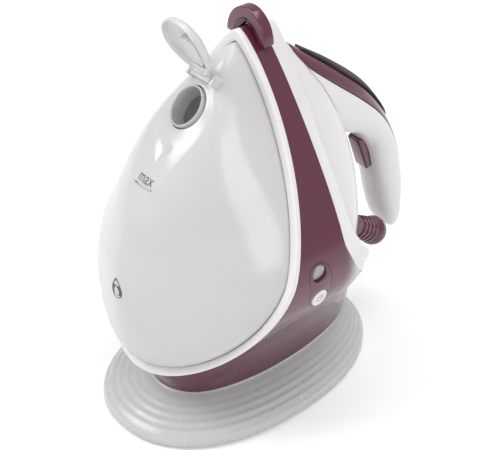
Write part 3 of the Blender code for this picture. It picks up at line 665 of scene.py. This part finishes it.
def control_place(z, depth):
    """A place on the band at a height, a depth below its surface along the press axis."""
    surface = Vector((egg_half_width(z), PANEL_Y_MID - PANEL_LEAN * (z - PANEL_Z_MID), z))
    return surface + PRESS_AXIS * depth


def egg_solid(name, amount, front, back):
    return loft(name, [[(x, y, z) for x, z in egg(amount)] for y in (front, back)])


def make_controls():
    panel = panel_prism("panel", GAP, 78.0, 112.0)
    boolean(panel, egg_solid("skin", 0.0, -120, 120), "INTERSECT")
    boolean(panel, egg_solid("core", WALL + 1.5, -130, 130))
    for z, radius in ((LENS_Z, 6.2), (BUTTON_Z, 7.2)):
        boolean(panel, rod("hole", radius, 20, control_place(z, 0), PRESS_AXIS, 64))
    bevel(panel, 0.35, 3)
    dress(panel, "station", burgundy(), ("control_panel",))
    profile = rounded([(0, 2.6), (5.3, 2.0), (5.9, 1.2), (5.9, -2.4), (0, -2.4)], 0.5)
    dress(turned("lens", profile, control_place(LENS_Z, 3.0), -PRESS_AXIS), "station",
          grey(), ("indicator_lens",))
    profile = rounded([(0, 2.9), (5.2, 3.3), (6.9, 3.0), (6.9, -3.4), (0, -3.4)], 0.7)
    dress(turned("button", profile, control_place(BUTTON_Z, 2.4), -PRESS_AXIS), "button",
          white(), ("power_button",))
    across, up = Vector((0, 1, 0)), Vector((0.174, 0, 0.985))
    face = control_place(BUTTON_Z, 2.4 - 2.98)
    arc = [face + across * (2.7 * math.sin(a)) + up * (2.7 * math.cos(a))
           for a in (math.radians(d) for d in range(35, 326, 6))]
    mark = join(tube("power_mark", arc, 0.24), tube("bar", [face + up * 0.6, face + up * 3.2], 0.24))
    dress(mark, "button", charcoal())


# ---------------------------------------------------------------- tank


def filler_axis():
    return Vector((0, -math.sin(TANK_SLOPE), math.cos(TANK_SLOPE)))


def down_slope():
    return Vector((0, -math.cos(TANK_SLOPE), -math.sin(TANK_SLOPE)))


def filler_place(out):
    return Vector((0, tank_y(0, FILLER_Z), FILLER_Z)) + filler_axis() * out


def hinge_point():
    return Vector((0, tank_y(0, HINGE_Z), HINGE_Z)) + filler_axis() * 3.2


def lug_place(x):
    return hinge_point() + Vector((x, 0, 0)) - filler_axis() * 9.0


def ramp(value, low, high):
    t = min(max((value - low) / (high - low), 0.0), 1.0)
    return t * t * (3 - 2 * t)


def seat_depth(x, y, z, finger):
    """How far the flap's seat and the finger notch below it sink into the tank."""
    v = (Vector((0, y, z)) - hinge_point()).dot(down_slope()) - 3.5
    radius = math.hypot(x / (FLAP_HALF_X * 0.95), (v - FLAP_LENGTH / 2) / (FLAP_LENGTH / 2))
    seat = 0.45 * (1 - ramp(radius, 0.94, 1.04))
    reach = v - FLAP_LENGTH + 1
    edge = 8.5 * (1 - reach / 12.0)
    notch = finger * ramp(edge - abs(x), 0.0, 2.2) * ramp(reach, -1.0, 1.5)
    return max(seat, notch)


def tank_rings(wall, steps, finger):
    outline = egg(RIM_WIDTH + GAP + wall)
    rings = []
    for i in range(1, steps + 1):
        rho = math.sin(math.pi / 2 * i / steps)
        ring = []
        for x, z in outline:
            px, pz = x * rho, TANK_MIDDLE + (z - TANK_MIDDLE) * rho
            y = tank_y(px, pz, wall)
            if not wall:
                y += seat_depth(px, y, pz, finger) / math.cos(TANK_SLOPE)
            ring.append((px, y, pz))
        rings.append(ring)
    rings.append([(x, front_y(z) + RIM_DEPTH - 2 * GAP, z) for x, z in outline])
    return rings


def on_tank(made, height, out):
    """Lays a flat shape drawn in millimetres in X and Y onto the tank at a height."""
    for vertex in made.data.vertices:
        x, z = vertex.co.x, height + vertex.co.y
        vertex.co = world((x, tank_y(x, z) - out, z))
    made.matrix_world = Matrix()
    made.data.update()
    return made


def filled(name, outlines):
    """A flat shape bounded by closed outlines in millimetres."""
    curve = bpy.data.curves.new(name, "CURVE")
    curve.dimensions = "2D"
    curve.fill_mode = "FRONT"
    for outline in outlines:
        spline = curve.splines.new("POLY")
        spline.points.add(len(outline) - 1)
        for place, (x, y) in zip(spline.points, outline):
            place.co = (x, y, 0, 1)
        spline.use_cyclic_u = True
    made = bpy.data.objects.new(name, curve)
    bpy.context.scene.collection.objects.link(made)
    only(made)
    bpy.ops.object.convert(target="MESH")
    return bpy.context.object


def make_marks(height, size):
    deselect()
    bpy.ops.object.text_add()
    word = bpy.context.object
    word.name = "level_mark"
    word.data.body = "max"
    word.data.align_x = "CENTER"
    word.data.size = size
    word.data.resolution_u = 6
    only(word)
    bpy.ops.object.convert(target="MESH")
    word = bpy.context.object
    reach = [size * i / 12 for i in range(-12, 13)]
    line = filled("level_line", [[(x, -2.5) for x in reach] + [(x, -1.6) for x in reach[::-1]]])
    deselect()
    word = join(word, line)
    dress(on_tank(word, height, 0.16), "station", mark_grey())
    drop = []
    for i in range(48):
        a = 2 * math.pi * i / 48
        drop.append((7.2 * math.sin(a) * math.sin(a / 2)**1.1, 8.5 * math.cos(a)))
    inner = [(0.5 * x, 0.45 * y - 2.0) for x, y in drop]
    dress(on_tank(filled("drop_mark", [drop, inner]), 131.0, 0.16), "station",
          mark_grey())


def make_tank(finger):
    rings = tank_rings(0.0, 90, finger) + tank_rings(TANK_WALL, 30, finger)[::-1]
    tank = loft("tank", rings)
    long_half, short_half = FILLER_HALF_V + FILLER_ROOM, FILLER_HALF_X + FILLER_ROOM
    hole = rod("filler hole", long_half, 44, (0, CENTRE_Y, 0), (0, 0, 1), 96, short_half / long_half)
    hole.location = world(filler_place(-10))
    hole.rotation_mode = "XYZ"
    hole.rotation_euler = (TANK_SLOPE, 0, 0)
    settle(hole)
    boolean(tank, hole)
    for side in (-1, 1):
        boolean(tank, slab("lug", (2.4, 8, 24), lug_place(side * 11.5), TANK_SLOPE, 0.6), "UNION")
    dress(tank, "station", milky(), ("water_tank",))


def flap_point(x, v, out):
    """A place on the shut flap: v runs down the slope from the hinge, out stands off the tank."""
    base = hinge_point() + down_slope() * v
    z = base.z
    y = tank_y(x, z)
    for _ in range(12):
        error = (Vector((0, y, z)) - base).dot(down_slope())
        z += error * math.sin(TANK_SLOPE)
        y = tank_y(x, z)
    return Vector((x, y, z)) + filler_axis() * out


def filler_middle():
    """How far down the slope the filler lies from the hinge."""
    return (filler_place(0) - hinge_point()).dot(down_slope())


def make_neck():
    middle = filler_middle()
    rings = []
    for radius, out in ((1.7, 1.6), (1.7, -4.0), (0.2, -10.0), (-1.4, -10.0), (0.2, -4.0),
                        (0.2, 1.8), (0.5, 2.15), (0.95, 2.2), (1.4, 2.05)):
        rings.append([tuple(flap_point(x, v + middle, out)) for x, v in
                      oval(FILLER_HALF_X + radius, FILLER_HALF_V + radius, count=96)])
    dress(loft("neck", rings, closed=True), "station", clear(), ("filler_neck",))


def flap_outline(scale):
    """Petal outline across and down the slope: a round tip and a narrower root."""
    points = []
    for i in range(96):
        a = 2 * math.pi * i / 96
        v = FLAP_LENGTH / 2 * (1 - math.cos(a) * scale)
        wide = FLAP_HALF_X * (0.92 - 0.08 * math.cos(a))
        points.append((wide * math.sin(a) * scale, v + 3.5))
    return points


# Share of the outline and height above the tank, from the hollow side round to the outside
FLAP_ROWS = ((0.3, 7.2), (0.5, 7.05), (0.64, 6.8), (0.76, 6.3), (0.86, 5.4), (0.905, 4.0),
             (0.93, 1.6), (0.945, 1.4), (0.985, 1.4), (1.0, 1.8), (0.995, 3.4), (0.98, 4.6),
             (0.94, 6.2), (0.88, 7.2), (0.76, 8.2), (0.62, 8.8), (0.45, 9.1), (0.3, 9.2))


def make_flap():
    swing = Matrix.Rotation(-FLAP_OPEN, 4, "X")
    pivot = hinge_point()

    def opened(point):
        return pivot + swing @ (Vector(point) - pivot)
    rings = [[opened(flap_point(x, v, out)) for x, v in flap_outline(scale)]
             for scale, out in FLAP_ROWS]
    flap = loft("flap", rings)
    web = slab("web", (18.0, 10.0, 2.4), opened(pivot + down_slope() * 5 + filler_axis() * 0.6),
               TANK_SLOPE - FLAP_OPEN, 0.5)
    boolean(flap, web, "UNION")
    boolean(flap, rod("knuckle", 3.0, 19.0, pivot, (1, 0, 0)), "UNION")
    boolean(flap, rod("bore", 1.5, 40, pivot, (1, 0, 0)))
    dress(flap, "flap", milky(), ("filler_flap",))
    middle = filler_middle()
    plug = []
    for radius, out in ((-2.6, 3.2), (-2.0, 3.2), (-2.0, 6.9), (-2.6, 6.9)):
        plug.append([opened(flap_point(x, v + middle, out)) for x, v in
                     oval(FILLER_HALF_X + radius - 0.6, FILLER_HALF_V + radius, 4.0, 96)])
    dress(loft("flap_plug", plug), "flap", frosted())


# ---------------------------------------------------------------- dock and clasp


def taper(z):
    """How far the dock frame's crest is drawn in at a height."""
    return 3.0 + 7.0 * min(1.0, max(0.0, (EGG_TOP - z) / 70.0))


def frame_ring(amount, follow, depth, lowest, extra=0.0, lift=0.0):
    """Ring of the dock frame; no amount means its crest, drawn in by the taper."""
    ring = []
    plain = egg(0)
    for i, (x0, z0) in enumerate(plain):
        x1, z1 = egg_near(i, taper(z0) + extra if amount is None else amount)
        y = depth
        if depth is None:
            y = back_y(z0) + station(FRAME_ROWS, max(z0, FLARE_END))[0] - lift
        elif follow:
            y = back_y(z0) + depth
        x1 *= tuck(z0) if y > DOCK_Y else 1.0
        if z0 < EGG_WIDEST and extra > 0.9 and abs(x1) < IRON_WAY:
            z1 = lowest
        ring.append((x1, y, max(z1, lowest)))
    return ring


@functools.lru_cache(maxsize=None)
def egg_near(index, amount):
    """A point of the inset outline, from its two nearest whole steps."""
    low = math.floor(amount * 2) / 2
    a, b = egg(low)[index], egg(low + 0.5)[index]
    t = (amount - low) * 2
    return mix(a[0], b[0], t), mix(a[1], b[1], t)


def make_dock():
    rings = [frame_ring(0.3, 1, GAP, 84.0), frame_ring(0.6, 1, 2.0, 84.0)]
    base, crest = rings[-1], frame_ring(None, 1, None, 84.0)
    for i in range(1, 10):
        t = i / 10
        rings.append([tuple(mix(p, q, t) for p, q in zip(a, b)) for a, b in zip(base, crest)])
    rings += [frame_ring(None, 1, None, 84.0, 0.0, 0.8), frame_ring(None, 1, None, 84.0, 0.5, 0.1),
              frame_ring(None, 1, None, 86.8, 1.2, 0.0), frame_ring(None, 1, None, 87.3, 2.5, 0.1),
              frame_ring(None, 1, None, 87.4, 3.0, 0.8),
              frame_ring(None, 0, 19.0 + GAP, 87.4, 3.0), frame_ring(3.2, 0, 19.0 + GAP, 84.0),
              frame_ring(3.2, 1, GAP, 84.0)]
    dress(loft("dock_ring", rings, closed=True), "station", white(),
          ("dock_frame",))


def make_clasp():
    def arc(half_x, top):
        return [(half_x * math.cos(math.pi * i / 48),
                 CLASP_LOW + (top - CLASP_LOW) * math.sin(math.pi * i / 48)) for i in range(49)]
    outline = arc(19.0, 301.5) + arc(12.8, 295.0)[::-1]
    clasp = loft("clasp", [[(x, CLASP_FRONT + y, z) for x, z in outline]
                           for y in (0, CLASP_DEPTH)])
    bevel(clasp, 1.2, 5, 50)
    dress(clasp, "clasp", burgundy(), ("lock_clasp",), 50)


# ---------------------------------------------------------------- iron


def body_section(z, grow=0.0, steps=72):
    """Arch of the iron's body at a height, grown or drawn in, with a level underside."""
    half_x, top = station(IRON_ROWS, min(z, NOSE_Z))
    low = BODY_Y - max(grow, 0)
    half_x += grow
    top += grow
    points = []
    for i in range(steps + 1):
        a = math.pi * i / steps
        c, s = math.cos(a), math.sin(a)
        points.append((half_x * math.copysign(abs(c)**(2 / BODY_POWER), c),
                       low + (top - low) * abs(s)**(2 / BODY_POWER), z))
    return points


def sole_heights():
    return [88, 88.6, 90, 92] + [mix(94, 270, i / 60) for i in range(61)] + [272, 274, NOSE_Z]


def plan_ring(y, amount):
    right = []
    for z in sole_heights():
        half_x = max(station(IRON_ROWS, z)[0] - amount, 0.6)
        right.append((half_x, min(max(z, HEEL_Z + amount), NOSE_Z - amount)))
    return [(x, y, z) for x, z in right] + [(-x, y, z) for x, z in right[::-1]]


def boot_line():
    return Vector((20, 99, 94)), Vector((0, 0.82, -0.57)).normalized()


def make_iron():
    rings = [plan_ring(SOLE_Y, 1.7), plan_ring(SOLE_Y + 0.3, 1.1), plan_ring(SOLE_Y + 1, 0.6),
             plan_ring(SOLE_Y + SOLE_THICK, 0.6)]
    dress(loft("sole", rings), "iron", bright_steel(), ("soleplate",))
    sections = [body_section(88.0, -1.6), body_section(88.25, -0.9), body_section(88.8, -0.3),
                body_section(89.6, 0.0)]
    sections += [body_section(z) for z in sole_heights()[3:]]
    body = loft("iron", sections)
    top = station(IRON_ROWS, DIAL_Z)[1]
    boolean(body, rod("well", DIAL_RADIUS + 0.6, 12, (0, top, DIAL_Z), (0, 1, 0), 96))
    start, axis = boot_line()
    boolean(body, rod("socket", 9.2, 26, start, axis, 64))
    bevel(body, 0.4, 3, 40)
    dress(body, "iron", white(), ("iron_body",), 45)


def make_dial():
    top = station(IRON_ROWS, DIAL_Z)[1]
    profile = rounded([(0, 5.0), (DIAL_RADIUS - 3, 5.0), (DIAL_RADIUS - 0.5, 3.4),
                       (DIAL_RADIUS, 1.6), (DIAL_RADIUS, -3.2), (5, -3.2), (5, -5.4), (0, -5.4)])
    dial = turned("dial", profile, (0, top, DIAL_Z), (0, 1, 0))
    for i in range(36):
        a = 2 * math.pi * i / 36
        reach = DIAL_RADIUS + 0.1
        place = (math.cos(a) * reach, top - 0.8, DIAL_Z + math.sin(a) * reach)
        boolean(dial, rod("flute", 0.55, 4.6, place, (0, 1, 0), 12))
    dress(dial, "dial", charcoal(), ("temperature_dial",))
    pointer = slab("dial_pointer", (1.2, 0.3, 8.0), (0, top + 5.1, DIAL_Z + 10), 0, 0.1, 2)
    dress(pointer, "dial", white())


def handle_frame(step):
    oy, oz, iy, iz, half_x = station(HANDLE_ROWS, step)
    return (Vector((0, (oy + iy) / 2, (oz + iz) / 2)), Vector((0, (oy - iy) / 2, (oz - iz) / 2)),
            half_x)


def cover_angle(step):
    return math.radians(station(COVER_ROWS, step)[0])


def section_point(middle, reach, half_x, a, out):
    c, s = math.cos(a), math.sin(a)
    length = reach.length
    point = middle + reach * (math.copysign(abs(c)**0.85, c) * (length + out) / length)
    point += Vector((math.copysign(abs(s)**0.85, s) * (half_x + out), 0, 0))
    return tuple(point)


def handle_section(step, seat=40, rest=70):
    middle, reach, half_x = handle_frame(step)
    edge = cover_angle(step)
    low = COVER_THICK + GAP if COVER_FIRST <= step <= COVER_LAST else 0.0
    ring = [section_point(middle, reach, half_x, mix(-edge, edge, i / seat), -low)
            for i in range(seat + 1)]
    ring += [section_point(middle, reach, half_x,
                           mix(edge + 0.03, 2 * math.pi - edge - 0.03, i / rest), 0.0)
             for i in range(rest + 1)]
    return ring


def handle_strip(name, first, last, angle, low, high, steps=96, arc=32):
    rings = []
    for i in range(steps + 1):
        step = mix(first, last, i / steps)
        middle, reach, half_x = handle_frame(step)
        edge = angle(step)
        turns = [mix(-edge, edge, j / arc) for j in range(arc + 1)]
        rings.append([section_point(middle, reach, half_x, a, high) for a in turns]
                     + [section_point(middle, reach, half_x, a, low) for a in turns[::-1]])
    return loft(name, rings)


def grown_body():
    return loft("grown", [body_section(z, GAP) for z in (86, *sole_heights(), 286)])


def make_handle():
    steps = [i / 8 for i in range(77)] + [9.7, 9.85, 10.0, 10.15, 10.3, 10.45, 10.6]
    handle = loft("grip_body", [handle_section(s) for s in steps])
    boolean(handle, grown_body())
    boolean(handle, slab("slot", (13.6, 26, 33), TRIGGER_PLACE, TRIGGER_TILT, 1.0))
    dress(handle, "iron", white(), ("handle",), 40)
    cover = handle_strip("cover", COVER_FIRST, COVER_LAST, lambda s: cover_angle(s) - 0.02,
                         -COVER_THICK, 0.0)
    boolean(cover, grown_body())
    bevel(cover, 0.4, 3, 50)
    dress(cover, "iron", burgundy(), ("handle_cover",), 50)
    grip = handle_strip("grip", 1.0, 4.5,
                        lambda s: 0.62 * math.sin(math.pi * (s - 0.8) / 3.9)**0.5, GAP, 1.8)
    bevel(grip, 0.6, 4, 50)
    dress(grip, "iron", charcoal(), ("handle_grip",), 50)
    out = Vector((0, math.cos(TRIGGER_TILT), math.sin(TRIGGER_TILT)))
    trigger = slab("trigger", (13.0, 8, 32.0), Vector(TRIGGER_PLACE) - out * 2, TRIGGER_TILT, 1.5)
    dress(trigger, "trigger", burgundy(), ("steam_trigger",))


def make_boot():
    start, axis = boot_line()
    profile = [(0, 40), (5, 40), (9, 38.5), (11.2, 35), (11.8, 31), (11.0, 27)]
    for groove in range(4):
        top = 25.5 - groove * 4.6
        radius = 10.2 - groove * 0.35
        profile += [(radius, top), (radius, top - 2.6), (radius - 1.4, top - 3.1),
                    (radius - 1.4, top - 4.1)]
    profile += [(8.6, 6.0), (8.6, -6.0), (0, -6.0)]
    dress(turned("boot", rounded(profile, 0.8, 5), start, axis), "boot",
          burgundy(), ("hose_boot",))


KEPT = {
    "foot_plate": white, "tank_back": white, "dock_panel": white, "outlet_valve": white,
    "dock_pad_left": pale_silicone, "dock_pad_right": pale_silicone, "inlet_tube": pale_silicone,
    "feed_tube": pale_silicone, "boiler": bright_steel, "flap_hinge_pin": bright_steel,
    "boiler_heater": warm_brass, "boiler_thermostat": grey, "thermostat": grey, "pump": charcoal,
    "button_switch": charcoal, "steam_switch": charcoal, "heat_shield": charcoal,
    "circuit_board": circuit_green, "panel_board": circuit_green,
    "rubber_foot_1": black_rubber, "rubber_foot_2": black_rubber, "rubber_foot_3": black_rubber,
    "rubber_foot_4": black_rubber,
}


# ---------------------------------------------------------------- stage


EYE_TARGET, EYE_DISTANCE = Vector((0.04626, -0.05623, 0.1692)), 0.945
EYE_AZIMUTH, EYE_ELEVATION = math.radians(48), math.radians(36)


def make_surroundings(fill):
    """Even light from all round, seen as plain white by the camera."""
    studio = bpy.data.worlds.new("studio")
    bpy.context.scene.world = studio
    studio.use_nodes = True
    nodes, links = studio.node_tree.nodes, studio.node_tree.links
    nodes.clear()
    output = nodes.new("ShaderNodeOutputWorld")
    blend = nodes.new("ShaderNodeMixShader")
    lit, seen = nodes.new("ShaderNodeBackground"), nodes.new("ShaderNodeBackground")
    path = nodes.new("ShaderNodeLightPath")
    lit.inputs["Color"].default_value = (1, 1, 1, 1)
    lit.inputs["Strength"].default_value = fill
    seen.inputs["Color"].default_value = (1, 1, 1, 1)
    seen.inputs["Strength"].default_value = 1.0
    links.new(path.outputs["Is Camera Ray"], blend.inputs["Fac"])
    links.new(lit.outputs["Background"], blend.inputs[1])
    links.new(seen.outputs["Background"], blend.inputs[2])
    links.new(blend.outputs["Shader"], output.inputs["Surface"])


def make_floor(brightening):
    deselect()
    bpy.ops.mesh.primitive_plane_add(size=8.0)
    floor = bpy.context.object
    floor.name = "floor"
    pale = bpy.data.materials.new("pale floor")
    pale.use_nodes = True
    shader = pale.node_tree.nodes["Principled BSDF"]
    shader.inputs["Base Color"].default_value = (0.93, 0.93, 0.93, 1)
    shader.inputs["Roughness"].default_value = 0.7
    shader.inputs["Specular IOR Level"].default_value = 0.1
    lift = pale.node_tree.nodes.new("ShaderNodeMath")
    lift.operation = "MULTIPLY"
    lift.inputs[1].default_value = brightening
    ray = pale.node_tree.nodes.new("ShaderNodeLightPath")
    pale.node_tree.links.new(ray.outputs["Is Camera Ray"], lift.inputs[0])
    pale.node_tree.links.new(lift.outputs[0], shader.inputs["Emission Strength"])
    shader.inputs["Emission Color"].default_value = (1, 1, 1, 1)
    floor.data.materials.append(pale)


def make_lamps(key):
    for name, place, size, power in (("key", (-0.9, -1.3, 1.9), 1.2, key),
                                     ("side", (1.8, -0.2, 1.1), 1.0, key * 0.30),
                                     ("top", (0.2, 0.5, 2.2), 1.4, key * 0.55)):
        light = bpy.data.lights.new(name, "AREA")
        light.size = size
        light.energy = power
        lamp = bpy.data.objects.new(name, light)
        bpy.context.scene.collection.objects.link(lamp)
        lamp.location = place
        towards = Vector((0, 0, 0.15)) - Vector(place)
        lamp.rotation_euler = towards.to_track_quat("-Z", "Y").to_euler()


def make_camera(lens):
    scene = bpy.context.scene
    camera = bpy.data.cameras.new("camera")
    camera.lens = lens
    camera.sensor_width = 36.0
    camera.clip_start = 0.01
    eye = bpy.data.objects.new("camera", camera)
    scene.collection.objects.link(eye)
    azimuth, elevation = EYE_AZIMUTH, EYE_ELEVATION
    away = Vector((math.sin(azimuth) * math.cos(elevation), -math.cos(azimuth) * math.cos(elevation),
                   math.sin(elevation)))
    eye.location = EYE_TARGET + away * EYE_DISTANCE
    eye.rotation_euler = (-away).to_track_quat("-Z", "Y").to_euler()
    scene.camera = eye
    scene.view_settings.view_transform = "Standard"


def make_stage(settings):
    make_surroundings(settings.fill)
    make_floor(settings.lift)
    make_lamps(settings.key)
    make_camera(settings.lens)


# ---------------------------------------------------------------- add-on


class TankSettings(bpy.types.PropertyGroup):
    finger: FloatProperty(name="Finger Notch", default=1.1, min=0.0, max=1.8, subtype="UNSIGNED",
                          description="Depth of the notch below the flap, in millimetres")
    mark_height: FloatProperty(name="Level Mark", default=204.0, min=180.0, max=215.0,
                               description="Height of the level mark, in millimetres")
    mark_size: FloatProperty(name="Letter Size", default=8.5, min=3.0, max=12.0,
                             description="Size of the level mark's letters, in millimetres")


class FootSettings(bpy.types.PropertyGroup):
    ripple: FloatProperty(name="Ripple", description="Depth of the foot's ripples, in millimetres",
                          default=0.28, min=0.0, max=0.6)


class StageSettings(bpy.types.PropertyGroup):
    key: FloatProperty(name="Key Light", description="Power of the main lamp", default=28.0, min=0.0,
                       unit="POWER")
    fill: FloatProperty(name="Fill", description="Strength of the light from all round", default=0.56,
                        min=0.0)
    lift: FloatProperty(name="Floor Lift", default=0.2, min=0.0, max=1.0, subtype="FACTOR",
                        description="Light that the floor adds for camera rays only")
    lens: FloatProperty(name="Lens", description="Focal length", default=100.8, min=10.0,
                        subtype="DISTANCE_CAMERA")


class StationOperator:
    bl_options = {"REGISTER", "UNDO"}


def operator(idname, label, text, action):
    """An operator class that runs one builder."""
    def execute(self, context):
        action(context.scene)
        return {"FINISHED"}
    return type("STATION_OT_" + idname, (StationOperator, bpy.types.Operator),
                {"bl_idname": "station." + idname, "bl_label": label, "__doc__": text,
                 "execute": execute})


def keep_nodes(_scene):
    for node, skin in KEPT.items():
        carry(node, skin())


OPERATORS = (
    operator("foot", "Foot", "Builds the rippled foot", lambda s: make_foot(s.station_foot.ripple)),
    operator("body", "Body", "Builds the band and the base", lambda s: make_body()),
    operator("rim", "Rim", "Builds the rim and its seal", lambda s: make_rim()),
    operator("controls", "Controls", "Builds the panel, its light and its button",
             lambda s: make_controls()),
    operator("tank", "Tank", "Builds the water tank", lambda s: make_tank(s.station_tank.finger)),
    operator("marks", "Marks", "Prints the level and drop marks",
             lambda s: make_marks(s.station_tank.mark_height, s.station_tank.mark_size)),
    operator("neck", "Neck", "Builds the filler's neck", lambda s: make_neck()),
    operator("flap", "Flap", "Builds the filler's flap", lambda s: make_flap()),
    operator("dock", "Dock", "Builds the dock's frame", lambda s: make_dock()),
    operator("clasp", "Clasp", "Builds the lock clasp", lambda s: make_clasp()),
    operator("iron", "Iron", "Builds the iron's sole and body", lambda s: make_iron()),
    operator("dial", "Dial", "Builds the temperature dial", lambda s: make_dial()),
    operator("handle", "Handle", "Builds the handle, its cover, grip and trigger",
             lambda s: make_handle()),
    operator("boot", "Boot", "Builds the hose boot", lambda s: make_boot()),
    operator("inside", "Inside", "Finishes the nodes that are kept as they are", keep_nodes),
    operator("stage", "Stage", "Sets the floor, lamps and camera",
             lambda s: make_stage(s.station_stage)),
)


class STATION_PT_panel(bpy.types.Panel):
    """Builders and settings"""
    bl_label = "Steam Station"
    bl_space_type = "VIEW_3D"
    bl_region_type = "UI"
    bl_category = "Station"

    def draw(self, context):
        scene = context.scene
        for group, names in ((scene.station_foot, ("ripple",)),
                             (scene.station_tank, ("finger", "mark_height", "mark_size")),
                             (scene.station_stage, ("key", "fill", "lift", "lens"))):
            for name in names:
                self.layout.prop(group, name)
        for made in OPERATORS:
            self.layout.operator(made.bl_idname)


CLASSES = (TankSettings, FootSettings, StageSettings, *OPERATORS, STATION_PT_panel)


def register():
    for made in CLASSES:
        bpy.utils.register_class(made)
    bpy.types.Scene.station_tank = PointerProperty(type=TankSettings)
    bpy.types.Scene.station_foot = PointerProperty(type=FootSettings)
    bpy.types.Scene.station_stage = PointerProperty(type=StageSettings)


def unregister():
    del bpy.types.Scene.station_stage
    del bpy.types.Scene.station_foot
    del bpy.types.Scene.station_tank
    for made in reversed(CLASSES):
        bpy.utils.unregister_class(made)


def main():
    register()
    deselect()
    for made in OPERATORS:
        getattr(bpy.ops.station, made.bl_idname.split(".")[1])()


if __name__ == "__main__":
    main()
